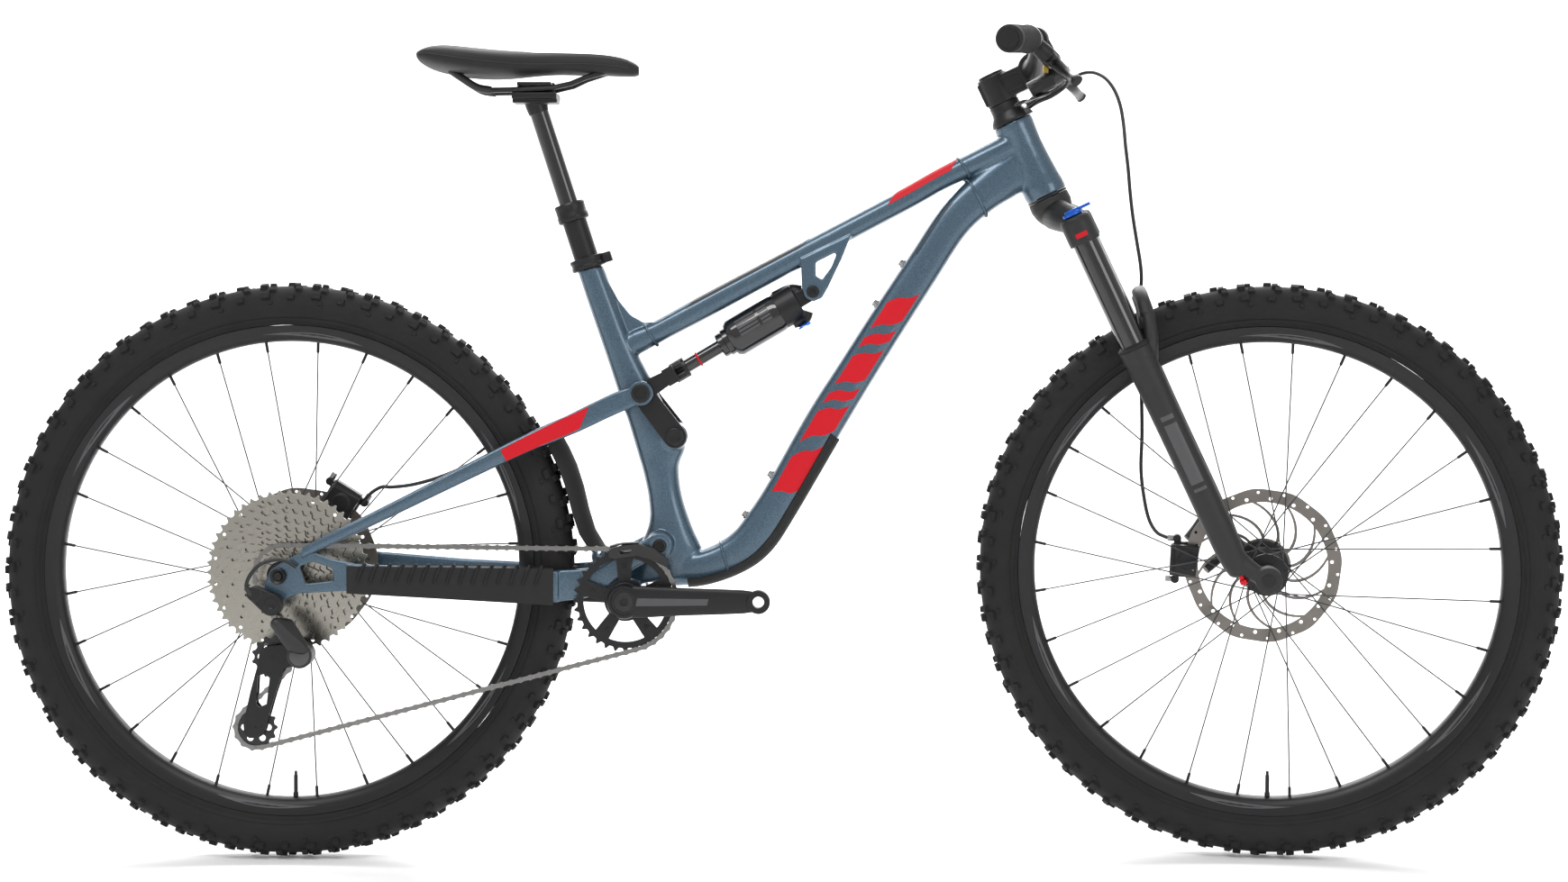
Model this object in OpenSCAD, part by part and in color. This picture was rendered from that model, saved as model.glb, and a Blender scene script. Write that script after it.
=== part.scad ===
// Full-suspension trail bicycle with 29 inch wheels, a hydroformed aluminium frame and a flex-stay rear end.
// Millimetres. +X is forward, +Y is the rider's left, +Z is up, and the ground is the plane Z = 0.
// X = 0 is midway between the two axles with the bars straight, and Y = 0 is the frame's centre plane.

/* [Wheels] */
// Distance between the axles with the bars straight
wheelbase = 1260; // [1240:1:1280]
// Outer radius of the tyres over the knobs
tyre_r = 372; // [370:0.5:374]
// Width of the tyres
tyre_w = 60; // [56:1:61]
// Inner radius of the rims
rim_in_r = 295.5; // [293:0.5:298]
// Spokes in each wheel
spoke_count = 28; // [24:4:32]
// Radius of both brake rotors
rotor_r = 101.5; // [99:0.5:102]

/* [Frame] */
// Angle of the steering axis from the ground, in degrees
head_angle = 65; // [64.8:0.1:65.2]
// Angle of the seat tube's bore from the ground, in degrees
seat_angle = 72; // [71.8:0.1:72.2]
// Width of the welded tubes
tube_w = 50; // [44:1:54]

/* [Fork] */
// Distance from the steering axis to the front axle
fork_offset = 50; // [48:0.5:52]
// Distance from the centre plane to each fork leg
leg_y = 66; // [65:0.5:68]
// Radius of the stanchions
stanchion_r = 17; // [16:0.5:17]
// How far the bars are turned to the right, in degrees
steer_rest = 8; // [0:1:12]

/* [Bars] */
// Overall width of the handlebar
bar_w = 760; // [740:2:770]
// Radius of the grips
grip_r = 16.5; // [15:0.5:17]

/* [Drivetrain] */
// Length of the crank arms, axle to axle
crank_len = 170; // [165:2.5:175]
// Teeth on the chainring
ring_teeth = 32; // [32:1:32]
// Teeth on the cog that the chain runs on
cog_teeth = 18; // [18:1:18]
// Teeth on each jockey pulley
pulley_teeth = 13; // [13:1:13]

/* [Hidden] */
$fn = 48;
pitch = 12.7;
rear_axle = [-wheelbase / 2, tyre_r];
front_axle = [wheelbase / 2, tyre_r];
// Centres in the side view, as [X, Z]
crank_c = [-193, 339];
main_pivot = [-150, 407];
rocker_pivot = [-131, 546];
stay_pivot = [-174, 602];
shock_top = [46, 732];
hanger = [-635, 338];
knuckle = [-602, 272];
guide_c = [-643, 266];
tension_c = [-664, 176];
seat_top = [-243, 762];
// Planes of the chain line and of the two rotors
chain_y = -52;
front_rotor_y = 40;
rear_rotor_y = 57;
// Radii of the pitch circles
ring_r = pitch / 2 / sin(180 / ring_teeth);
cog_r = pitch / 2 / sin(180 / cog_teeth);
pulley_r = pitch / 2 / sin(180 / pulley_teeth);
cassette_teeth = [10, 12, 14, 16, 18, 21, 24, 28, 33, 39, 45, 51];
cog_pitch = 3.9;
// The steering axis passes this point, nearest to the front axle
steer_foot = [front_axle[0] - fork_offset * sin(head_angle), front_axle[1] - fork_offset * cos(head_angle)];
// Heights along the steering axis, measured from steer_foot
head_low = 558;
head_high = 663;
stem_low = 690;
stem_high = 728;
seal_t = 336;
// Forward distance from the steering axis to the legs
leg_x = 21;
bar_c = [55, 712];
bar_points = [[55, 0, 712], [55, 42, 712], [72, 125, 731], [74, 180, 735], [46, bar_w / 2, 738]];
// Directions from a point on the bar to its brake lever, in the steering frame
lever_dir = [0.36, -0.93];
shock_len = norm(shock_top - stay_pivot);
shock_tilt = atan2(shock_top[1] - stay_pivot[1], shock_top[0] - stay_pivot[0]);
// Stays spread outward from their front ends
stay_front = [-284, 42];
stay_spread = 7.4;
dropout_y = 74.5;

// Front brake hose, in the steering frame
front_hose = [
    [94, 208, 688], [102, 202, 689], [112, 194, 688], [124, 180, 682], [134, 160, 668], [138, 142, 648],
    [136, 125, 625], [129, 108, 600], [120, 98, 575], [110, 91, 545], [99, 85, 515], [89, 81, 485],
    [79, 77, 450], [71, 76, 422], [62, 79, 400], [48, 87, 378], [33, 92, 345], [16, 93, 305],
    [-2, 92, 260], [-22, 89, 215], [-42, 84, 175], [-54, 76, 140], [-60, 66, 112], [-60, 58, 92]
];
// Hoses and housing from the bar controls into the upper headset cover, in the steering frame
left_remote_housing = [
    [66, 188, 690], [74, 160, 694], [82, 120, 694], [84, 80, 688], [76, 44, 680], [60, 24, 676], [42, 12, 676],
    [24, 8, 672]
];
right_shift_housing = [
    [66, -178, 684], [80, -150, 686], [92, -110, 686], [92, -70, 680], [80, -36, 674], [60, -18, 671],
    [40, -10, 672], [24, -4, 670]
];
rear_brake_hose = [
    [94, -208, 688], [104, -194, 690], [108, -160, 692], [106, -120, 690], [98, -80, 686], [84, -46, 682],
    [64, -26, 678], [44, -18, 680], [26, -14, 676]
];
// Rear brake hose along the left stay, and shift housing behind the right dropout
rear_hose = [
    [-300, 38, 556], [-330, 38, 538], [-390, 42, 512], [-440, 48, 490], [-480, 54, 478], [-510, 57, 474],
    [-524, 58, 474], [-529, 58.5, 471]
];
shift_housing = [
    [-606, -84, 384], [-618, -88, 392], [-634, -92, 394], [-650, -96, 388], [-662, -98, 374], [-666, -98, 360],
    [-660, -96, 350]
];

// ---- Helpers ----

// Side-view outline extruded across the bike, centred on y with width w
module side_plate(points, y, w) {
    translate([0, y + w / 2, 0])
        rotate([90, 0, 0])
            linear_extrude(w)
                polygon(points);
}

// Cylinder across the bike at a side-view centre, from y0 to y1
module pin_y(c, r, y0, y1) {
    translate([c[0], y1, c[1]])
        rotate([90, 0, 0])
            cylinder(r = r, h = y1 - y0);
}

// Round bar between two points
module rod(p, q, r) {
    d = q - p;
    translate(p)
        rotate([0, acos(d[2] / norm(d)), atan2(d[1], d[0])])
            cylinder(r = r, h = norm(d));
}

// Round bars through a list of points, with a slightly larger ball at each joint
module bent_rod(points, r) {
    for (i = [0 : len(points) - 2])
        rod(points[i], points[i + 1], r);
    for (i = [1 : len(points) - 2])
        translate(points[i])
            sphere(r = r + 0.3);
}

// Children are drawn at their own place and mirrored to the other side
module both_sides() {
    children();
    mirror([0, 1, 0])
        children();
}

// Steering frame: Z runs up the steering axis from steer_foot, X points forward
module steered() {
    translate([steer_foot[0], 0, steer_foot[1]])
        rotate([0, head_angle - 90, 0])
            rotate([0, 0, -steer_rest])
                children();
}

// Seat tube frame: Z runs up the seat tube's bore from its top
module on_seat_tube() {
    translate([seat_top[0], 0, seat_top[1]])
        rotate([0, seat_angle - 90, 0])
            children();
}

// Shock frame: X runs from the lower eye to the upper eye
module on_shock() {
    translate([stay_pivot[0], 0, stay_pivot[1]])
        rotate([0, -shock_tilt, 0])
            children();
}

// Ring of points round one point of a swept tube
function along(pts, i) = pts[min(i + 1, len(pts) - 1)] - pts[max(i - 1, 0)];
function unit(v) = v / norm(v);
function ring_at(pts, i, r, n) =
    let (t = unit(along(pts, i)), a = unit(cross(t, [0.3, 0.2, 0.93])), b = cross(t, a))
    [for (k = [0 : n - 1]) pts[i] + r * (cos(360 * k / n) * a + sin(360 * k / n) * b)];

// Tube swept along a route's own points
module swept_tube(pts, r, n = 8) {
    rings = len(pts);
    verts = [for (i = [0 : rings - 1]) for (p = ring_at(pts, i, r, n)) p];
    walls = [
        for (i = [0 : rings - 2]) for (k = [0 : n - 1]) let (a = i * n + k, b = i * n + (k + 1) % n)
            for (t = [[a, a + n, b + n], [a, b + n, b]]) t
    ];
    first = [for (k = [0 : n - 1]) k];
    last = [for (k = [0 : n - 1]) rings * n - 1 - k];
    polyhedron(verts, concat([first], walls, [last]), convexity = 8);
}

// ---- Chain path ----

// Sprockets in the order the chain meets them, as [centre, radius, turning sense]; +1 is anticlockwise in side view
sprockets = [
    [crank_c, ring_r, -1],
    [tension_c, pulley_r, -1],
    [guide_c, pulley_r, 1],
    [rear_axle, cog_r, -1]
];
function signed_r(s, e) = s[2] * s[1] - e;
function run_angle(a, b, e) =
    let (d = b[0] - a[0])
    atan2(d[1], d[0]) - asin((signed_r(b, e) - signed_r(a, e)) / norm(d));
// Angle swept round a sprocket between the run that comes in and the run that leaves
function wrap(sense, a, b) =
    let (turn = b - a)
    sense > 0 ? turn - 360 * floor(turn / 360) : turn - 360 * ceil(turn / 360);
function arc_points(i, e, steps = 10) =
    let (s = sprockets[i], before = sprockets[(i + 3) % 4], after = sprockets[(i + 1) % 4],
        a = run_angle(before, s, e), w = wrap(s[2], a, run_angle(s, after, e)), r = signed_r(s, e))
    [for (k = [0 : steps]) let (g = a + w * k / steps) s[0] - r * [-sin(g), cos(g)]];
function chain_path(e) = [for (i = [0 : 3]) for (p = arc_points(i, e)) p];

// ---- Front triangle ----

module head_bore() {
    translate([steer_foot[0], 0, steer_foot[1]])
        rotate([0, head_angle - 90, 0])
            translate([0, 0, head_low - 20])
                cylinder(r = 19, h = head_high - head_low + 40);
}

module post_bore() {
    on_seat_tube()
        translate([0, 0, -232])
            cylinder(r = 15.85, h = 280);
}

module crank_bore() {
    pin_y(crank_c, 21, -60, 60);
}

module pivot_bores() {
    pin_y(main_pivot, 7.5, -60, 60);
    pin_y(rocker_pivot, 6, -60, 60);
}

module down_tube() {
    color("steelblue")
        difference() {
            side_plate([
                [-158, 392], [-95, 400], [-50, 426], [-30, 455], [40, 577], [120, 703], [170, 778], [207, 836],
                [296, 916], [322, 862], [277, 834], [251, 814], [225, 782], [193, 724], [137, 641], [44, 479],
                [0, 407], [-28, 379], [-90, 355], [-150, 350]
            ], 0, tube_w);
            head_bore();
            crank_bore();
            pivot_bores();
            boss_bores();
        }
}

module top_tube() {
    color("steelblue")
        difference() {
            union() {
                side_plate([
                    [-196, 668], [-158, 695], [161, 865], [207, 891], [270, 926], [300, 918], [290, 900],
                    [207, 859], [161, 832], [93, 797], [30, 765], [-178, 654], [-200, 652]
                ], 0, 38);
                // Shock bracket under the tube
                for (s = [-1, 1])
                    side_plate([
                        [34, 768], [92, 798], [72, 750], [57, 724], [46, 719], [34, 724]
                    ], s * 17.5, 6);
            }
            post_bore();
            head_bore();
            // Window in the shock bracket
            pin_y([60, 758], 11, -30, 30);
            pin_y(shock_top, 5, -30, 30);
        }
}

module seat_tube() {
    color("steelblue")
        difference() {
            union() {
                on_seat_tube()
                    translate([0, 0, -215])
                        cylinder(r = 20, h = 215);
                side_plate([
                    [-196, 640], [-175, 662], [-158, 640], [-140, 570], [-118, 556], [-117, 536], [-128, 508],
                    [-122, 470], [-100, 400], [-165, 360], [-172, 345], [-215, 330], [-216, 372], [-175, 400],
                    [-165, 444], [-174, 502], [-192, 560]
                ], 0, 46);
            }
            post_bore();
            crank_bore();
            pivot_bores();
        }
}

module head_tube() {
    color("steelblue")
        translate([steer_foot[0], 0, steer_foot[1]])
            rotate([0, head_angle - 90, 0])
                rotate_extrude()
                    polygon([
                        [19, head_low], [28, head_low], [28, head_low + 12], [25, head_low + 30],
                        [23.5, head_high - 25], [26, head_high - 10], [26, head_high], [19, head_high]
                    ]);
}

module bottom_bracket() {
    color("dimgray") {
        for (s = [-1, 1])
            difference() {
                pin_y(crank_c, 23, min(s * 25.5, s * 37), max(s * 25.5, s * 37));
                pin_y(crank_c, 15.05, -60, 60);
            }
        for (s = [-1, 1])
            difference() {
                pin_y(crank_c, 20.5, min(s * 37, s * 45), max(s * 37, s * 45));
                pin_y(crank_c, 15.05, -60, 60);
            }
    }
}

// Places of the bottle-cage bosses on the upper face of the down tube
boss_spots = [[163, 768], [129, 716], [-7, 495], [-40, 443]];
boss_tilts = [56.3, 56.3, 60, 55];

module boss_bores() {
    for (i = [0 : 3])
        translate([boss_spots[i][0], 0, boss_spots[i][1]])
            rotate([0, -boss_tilts[i], 0])
                translate([0, 0, -12])
                    cylinder(r = 4, h = 30);
}

// Threaded bottle bosses, headset cups, seat clamp, pivot axles and shock bolt
module frame_hardware() {
    color("dimgray") {
        for (i = [0 : 3])
            translate([boss_spots[i][0], 0, boss_spots[i][1]])
                rotate([0, -boss_tilts[i], 0])
                    difference() {
                        union() {
                            translate([0, 0, -10])
                                cylinder(r = 3.95, h = 12);
                            translate([0, 0, 0.2])
                                cylinder(r = 5.5, h = 3.8);
                        }
                        translate([0, 0, -11])
                            cylinder(r = 2.1, h = 20);
                    }
        translate([steer_foot[0], 0, steer_foot[1]])
            rotate([0, head_angle - 90, 0]) {
                headset_cup(head_low, head_low + 8);
                headset_cup(head_high - 8, head_high);
            }
        seat_clamp();
        pin_y(main_pivot, 7.45, -45, 45);
        pin_y(rocker_pivot, 5.95, -36, 36);
        pin_y(shock_top, 4.95, -24, 24);
    }
}

module headset_cup(t0, t1) {
    translate([0, 0, t0])
        difference() {
            cylinder(r = 18.95, h = t1 - t0);
            translate([0, 0, -1])
                cylinder(r = 14.35, h = t1 - t0 + 2);
        }
}

module seat_clamp() {
    on_seat_tube()
        difference() {
            union() {
                translate([0, 0, 0.2])
                    cylinder(r = 22, h = 15);
                translate([18, -8, 1])
                    cube([14, 16, 13]);
            }
            translate([0, 0, -1])
                cylinder(r = 15.9, h = 20);
        }
}

module dropper_outer() {
    color("dimgray")
        on_seat_tube()
            difference() {
                union() {
                    translate([0, 0, -205])
                        cylinder(r = 15.8, h = 270);
                    translate([0, 0, 65])
                        cylinder(r = 20.5, h = 24);
                }
                translate([0, 0, -200])
                    cylinder(r = 12.6, h = 300);
            }
}

module down_tube_guard() {
    color("black")
        side_plate([
            [-138, 346], [-90, 350.5], [-24, 374], [6, 404], [48, 476.6], [60, 497], [64.3, 494.5], [52, 474],
            [10, 400], [-22, 370], [-89, 346], [-138, 342]
        ], 0, 42);
}

module chain_guide() {
    color("black") {
        side_plate([
            [-212, 414], [-176, 416], [-152, 408], [-134, 392], [-138, 384], [-160, 394], [-178, 398], [-212, 394]
        ], -58.4, 1.6);
        side_plate([
            [-212, 414], [-176, 416], [-152, 408], [-116, 398], [-116, 384], [-138, 384], [-160, 394],
            [-178, 398], [-212, 394]
        ], -46.8, 1.6);
        // Roof over the chain, and the foot on the frame ahead of the pivot
        side_plate([[-212, 414], [-176, 416], [-176, 411.5], [-212, 410]], -52.6, 13.2);
        side_plate([[-128, 398], [-116, 396], [-116, 385], [-128, 385]], -35.8, 23.6);
    }
}

// ---- Seatpost and saddle ----

module seatpost_inner() {
    color("black")
        on_seat_tube()
            union() {
                translate([0, 0, -60])
                    cylinder(r = 12.5, h = 286);
                // Forged head, two bolts and the upper clamp plate, level with the ground
                translate([0, 0, 226])
                    rotate([0, 90 - seat_angle, 0]) {
                        translate([-30, -26, -2])
                            cube([60, 52, 14]);
                        for (x = [-18, 18])
                            translate([x, 0, 10])
                                cylinder(r = 4, h = 16);
                        translate([-23, -26, 20.6])
                            cube([46, 52, 5]);
                    }
            }
}

module saddle_rails() {
    color("dimgray")
        both_sides()
            swept_tube([
                [-418, 30, 1016], [-400, 27.5, 1003], [-386, 24.5, 995], [-368, 22.5, 991.6], [-344, 22, 992],
                [-288, 22, 995], [-266, 20, 1000], [-248, 16, 1008], [-212, 10, 1019]
            ], 3.5);
}

module saddle() {
    color([0.09, 0.09, 0.1])
        hull() {
            translate([-452, -45, 1033]) sphere(r = 10, $fn = 32);
            translate([-452, 45, 1033]) sphere(r = 10, $fn = 32);
            translate([-415, -64, 1022]) sphere(r = 9, $fn = 32);
            translate([-415, 64, 1022]) sphere(r = 9, $fn = 32);
            translate([-300, -26, 1024]) sphere(r = 12, $fn = 32);
            translate([-300, 26, 1024]) sphere(r = 12, $fn = 32);
            translate([-193, 0, 1020]) sphere(r = 17, $fn = 32);
            translate([-440, 0, 1040]) sphere(r = 9, $fn = 32);
        }
}

// ---- Steering ----

module fork_crown() {
    color([0.1, 0.1, 0.11])
        steered() {
            // Steerer
            translate([0, 0, head_low - 6])
                cylinder(r = 14.3, h = stem_high - head_low);
            translate([0, 0, head_low - 7])
                cylinder(r = 27, h = 6.6);
            difference() {
                union() {
                    hull() {
                        translate([0, 0, head_low - 36])
                            cylinder(r = 24, h = 29, $fn = 32);
                        translate([leg_x, -leg_y, 505])
                            cylinder(r = 20, h = 12, $fn = 32);
                        translate([leg_x, leg_y, 505])
                            cylinder(r = 20, h = 12, $fn = 32);
                    }
                    for (s = [-1, 1])
                        translate([leg_x, s * leg_y, 483])
                            cylinder(r = 20.5, h = 37);
                }
                for (s = [-1, 1])
                    translate([leg_x, s * leg_y, 470])
                        cylinder(r = stanchion_r + 0.05, h = 60);
                // Tyre room under the crown
                translate([-10, -40, 478])
                    cube([80, 80, 22]);
            }
        }
}

module stanchions() {
    color([0.06, 0.06, 0.07])
        steered()
            for (s = [-1, 1])
                translate([leg_x, s * leg_y, 190])
                    cylinder(r = stanchion_r, h = 328);
}

module stem() {
    color([0.09, 0.09, 0.1])
        steered() {
            // Cable entry cover and spacers
            translate([0, 0, head_high + 0.4])
                rotate_extrude()
                    polygon([[14.4, 0], [27, 0], [26, 4], [20, 12], [20, 26.4], [14.4, 26.4]]);
            difference() {
                union() {
                    translate([0, 0, stem_low + 0.1])
                        cylinder(r = 20, h = stem_high - stem_low);
                    translate([0, -17, stem_low + 4])
                        cube([bar_c[0] - 8, 34, 30]);
                    translate([bar_c[0], 26, bar_c[1]])
                        rotate([90, 0, 0])
                            cylinder(r = 22, h = 52);
                }
                translate([0, 0, stem_low - 5])
                    cylinder(r = 14.35, h = 45);
                translate([bar_c[0], 40, bar_c[1]])
                    rotate([90, 0, 0])
                        cylinder(r = 15.95, h = 80);
            }
            translate([0, 0, stem_high + 0.2])
                cylinder(r = 17, h = 4);
        }
}

module handlebar() {
    color([0.07, 0.07, 0.08])
        steered() {
            both_sides()
                bent_rod([for (i = [1 : 4]) bar_points[i]], 11.1);
            translate([bar_c[0], 44, bar_c[1]])
                rotate([90, 0, 0])
                    cylinder(r = 15.9, h = 88);
        }
}

// Point on the outer stretch of the right half of the bar, at distance y from the centre plane
function on_bar(y) =
    let (a = bar_points[3], b = bar_points[4], f = (y - a[1]) / (b[1] - a[1]))
    a + f * (b - a);

module grips() {
    color([0.05, 0.05, 0.05])
        steered()
            both_sides()
                difference() {
                    rod(on_bar(250), on_bar(bar_w / 2 + 3), grip_r);
                    rod(on_bar(240), on_bar(bar_w / 2 + 0.4), 11.2);
                }
}

// A clamp on the bar with an arm towards the brake lever's pivot
module lever_mount(y) {
    p = on_bar(y);
    translate([p[0], p[1], p[2]])
        rotate([0, 90 - atan2(lever_dir[0], -lever_dir[1]), 0]) {
            difference() {
                union() {
                    translate([0, 7, 0])
                        rotate([90, 0, 0])
                            cylinder(r = 16, h = 14);
                    translate([0, -36, -8])
                        cube([44, 43, 16]);
                }
                rotate([90, 0, -8])
                    translate([0, 0, -60])
                        cylinder(r = 11.4, h = 120);
                // Slot for the lever's eye
                translate([31, -80, -4.6])
                    cube([40, 100, 9.2]);
            }
        }
}

module brake_lever_bodies() {
    color([0.08, 0.08, 0.09])
        steered()
            both_sides()
                lever_mount(232);
}

// Blade from its pivot out along the grip, ending in a hooked tip
module lever_blade() {
    p = on_bar(232);
    translate([p[0], p[1], p[2]])
        rotate([0, 90 - atan2(lever_dir[0], -lever_dir[1]), 0]) {
            difference() {
                hull() {
                    translate([38, -8, -4])
                        cylinder(r = 6, h = 8, $fn = 32);
                    translate([66, 20, -4])
                        cylinder(r = 6, h = 8, $fn = 32);
                }
                translate([38, -8, -10])
                    cylinder(r = 2.55, h = 20);
            }
            hull() {
                translate([66, 20, -4])
                    cylinder(r = 6, h = 8, $fn = 32);
                translate([74, 92, -4])
                    cylinder(r = 6, h = 8, $fn = 32);
            }
        }
}

module lever_pin() {
    p = on_bar(232);
    translate([p[0], p[1], p[2]])
        rotate([0, 90 - atan2(lever_dir[0], -lever_dir[1]), 0])
            translate([38, -8, -8])
                cylinder(r = 2.5, h = 16);
}

module brake_lever_left() {
    color([0.1, 0.1, 0.1])
        steered()
            lever_blade();
}

module brake_lever_right() {
    color([0.1, 0.1, 0.1])
        steered()
            mirror([0, 1, 0])
                lever_blade();
}

// Shifter and dropper remote bodies under the bar, with the pins of the brake levers
module bar_controls() {
    color([0.1, 0.1, 0.1])
        steered() {
            both_sides()
                lever_pin();
            both_sides()
                difference() {
                    union() {
                        rod(on_bar(181), on_bar(194), 15.5);
                        translate([62, 182, 690])
                            cube([20, 12, 36]);
                    }
                    rod(on_bar(170), on_bar(205), 11.3);
                }
            translate([36, -216, 672])
                cube([44, 36, 20]);
            translate([54, -200, 666])
                cylinder(r = 3, h = 8);
            translate([44, 184, 682])
                cube([34, 26, 14]);
            translate([54, 200, 676])
                cylinder(r = 3, h = 8);
        }
}

module thumb_lever(side, reach) {
    translate([54, side * 200, 668])
        difference() {
            hull() {
                cylinder(r = 8, h = 3.5, $fn = 32);
                translate([-24, side * reach * 0.6, 0])
                    cylinder(r = 6, h = 3.5, $fn = 32);
                translate([-30, side * reach, 0])
                    cylinder(r = 7, h = 3.5, $fn = 32);
            }
            translate([0, 0, -1])
                cylinder(r = 3.05, h = 6);
        }
}

module shift_paddle() {
    color([0.07, 0.07, 0.07])
        steered()
            thumb_lever(-1, 84);
}

module dropper_paddle() {
    color([0.07, 0.07, 0.07])
        steered()
            translate([0, 0, 10])
                thumb_lever(1, 62);
}

module bar_hoses() {
    color("black")
        steered() {
            swept_tube(left_remote_housing, 2.5);
            swept_tube(right_shift_housing, 2.5);
            swept_tube(rear_brake_hose, 2.5);
        }
}

module front_brake_hose() {
    color("black")
        steered()
            swept_tube(front_hose, 2.5);
}

module compression_knob() {
    color("royalblue")
        steered()
            translate([leg_x, -leg_y, 520.3])
                cylinder(r = 13, h = 9);
}

// ---- Fork lowers ----

module fork_lowers() {
    color([0.1, 0.1, 0.11])
        steered()
            difference() {
                union() {
                    for (s = [-1, 1]) {
                        translate([leg_x, s * leg_y, 20])
                            cylinder(r = 20, h = seal_t - 20);
                        translate([leg_x, s * leg_y, seal_t])
                            cylinder(r = 22, h = 5);
                        // Dropout round the axle
                        translate([30, s * leg_y - 10, 0])
                            cube([fork_offset - 30, 20, 34]);
                        translate([fork_offset, s * leg_y + 11, 0])
                            rotate([90, 0, 0])
                                cylinder(r = 19, h = 22);
                    }
                    arch();
                }
                for (s = [-1, 1])
                    translate([leg_x, s * leg_y, 60])
                        cylinder(r = stanchion_r + 0.06, h = 300);
                translate([fork_offset, 100, 0])
                    rotate([90, 0, 0])
                        cylinder(r = 7.55, h = 200);
            }
}

// Brace over the tyre, ahead of the legs
module arch() {
    translate([leg_x + 24, 0, 0])
        rotate([90, 0, 90])
            linear_extrude(20)
                polygon([
                    [-82, 290], [-78, 345], [-62, 385], [-34, 402], [34, 402], [62, 385], [78, 345], [82, 290],
                    [56, 290], [50, 345], [40, 372], [22, 384], [-22, 384], [-40, 372], [-50, 345], [-56, 290]
                ]);
    for (s = [-1, 1])
        translate([leg_x, s * leg_y - 12, 292])
            cube([25, 24, 36]);
}

module front_thru_axle() {
    color("dimgray")
        steered()
            translate([fork_offset, 0, 0])
                rotate([90, 0, 0]) {
                    translate([0, 0, -78])
                        cylinder(r = 7.5, h = 156);
                    translate([0, 0, 77.4])
                        cylinder(r = 10, h = 3);
                }
}

// Caliper block with a slot round its rotor, placed by its angle about the axle
module caliper(c, angle, y) {
    translate([c[0], y, c[1]])
        rotate([0, -angle, 0])
            difference() {
                translate([rotor_r - 24, -13, -30])
                    cube([46, 28, 60]);
                translate([rotor_r - 30, -2.2, -40])
                    cube([34, 4.4, 80]);
            }
}

module front_caliper() {
    color([0.08, 0.08, 0.09])
        steered() {
            caliper([fork_offset, 0], 152, front_rotor_y);
            // Post mounts from the leg
            for (t = [40, 86])
                translate([-48 + (t - 40) * 0.4, 46, t])
                    cube([50 - (t - 40) * 0.4, 16, 12]);
        }
}

module rebound_knob() {
    color("crimson")
        steered()
            translate([leg_x, -leg_y, 7])
                cylinder(r = 6, h = 12.7);
}

// ---- Wheels ----

module on_front_axle() {
    steered()
        translate([fork_offset, 0, 0])
            rotate([0, 90 - head_angle, 0])
                children();
}

module on_rear_axle() {
    translate([rear_axle[0], 0, rear_axle[1]])
        children();
}

// Turns a shape made round Z into one round Y
module wheelwise() {
    rotate([-90, 0, 0])
        children();
}

module tyre() {
    wheelwise()
        difference() {
            rotate_extrude($fn = 120)
                translate([tyre_r - tyre_w / 2, 0])
                    circle(r = tyre_w / 2);
            rotate_extrude($fn = 120)
                translate([tyre_r - tyre_w / 2 - 1, 0])
                    circle(r = tyre_w / 2 - 4);
            translate([0, 0, -40])
                cylinder(r = 317, h = 80, $fn = 120);
        }
}

module rim() {
    wheelwise()
        rotate_extrude($fn = 120)
            polygon([
                [rim_in_r, -9], [rim_in_r, 9], [303, 15], [316.8, 17], [316.8, 14], [309, 12.5], [306, 6],
                [306, -6], [309, -12.5], [316.8, -14], [316.8, -17], [303, -15]
            ]);
    // Valve
    translate([5, 0, -rim_in_r + 0.5])
        cylinder(r = 3, h = 32);
}

// Crossed spokes between two flanges and the rim
module spokes(flange_l, flange_r, flange_rad) {
    step = 360 / spoke_count;
    for (i = [0 : spoke_count - 1]) {
        side = i % 2 == 0 ? 1 : -1;
        lean = floor(i / 2) % 2 == 0 ? 1 : -1;
        rim_a = i * step + step / 2;
        hub_a = rim_a + lean * 6 * step;
        flange = (side > 0 ? flange_l : -flange_r) + lean * 1.7;
        rod([flange_rad * cos(hub_a), flange, flange_rad * sin(hub_a)],
            [(rim_in_r + 3) * cos(rim_a), side * 3, (rim_in_r + 3) * sin(rim_a)], 0.9);
    }
}

module hub_shell(profile, bore) {
    wheelwise()
        difference() {
            rotate_extrude()
                polygon(profile);
            translate([0, 0, -100])
                cylinder(r = bore, h = 200);
        }
}

module rotor(y) {
    wheelwise()
        translate([0, 0, y - 0.9])
            linear_extrude(1.8)
                difference() {
                    circle(r = rotor_r);
                    // Windows between the five arms
                    for (i = [0 : 4])
                        rotate(i * 72)
                            polygon([
                                [36, -13], [rotor_r - 20, -37], [rotor_r - 14.5, 0], [rotor_r - 20, 37], [36, 13]
                            ]);
                    circle(r = 17.1);
                }
}

module front_tyre() {
    color([0.08, 0.08, 0.08])
        on_front_axle()
            tyre();
}

module front_rim() {
    color([0.05, 0.05, 0.05])
        on_front_axle()
            rim();
}

module front_spokes() {
    color("silver")
        on_front_axle()
            spokes(24, 30, 24);
}

module front_hub() {
    color([0.05, 0.05, 0.05])
        on_front_axle()
            hub_shell([
                [0, -52], [12, -52], [13, -40], [13, -33], [27, -32], [27, -28], [15, -22], [13, 0], [15, 16],
                [27, 22], [27, 26], [17, 30], [17, 52], [0, 52]
            ], 7.58);
}

module front_rotor() {
    color("silver")
        on_front_axle()
            rotor(front_rotor_y);
}

module rear_tyre() {
    color([0.08, 0.08, 0.08])
        on_rear_axle()
            tyre();
}

module rear_rim() {
    color([0.05, 0.05, 0.05])
        on_rear_axle()
            rim();
}

module rear_spokes() {
    color("silver")
        on_rear_axle()
            spokes(28, 20, 24);
}

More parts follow.
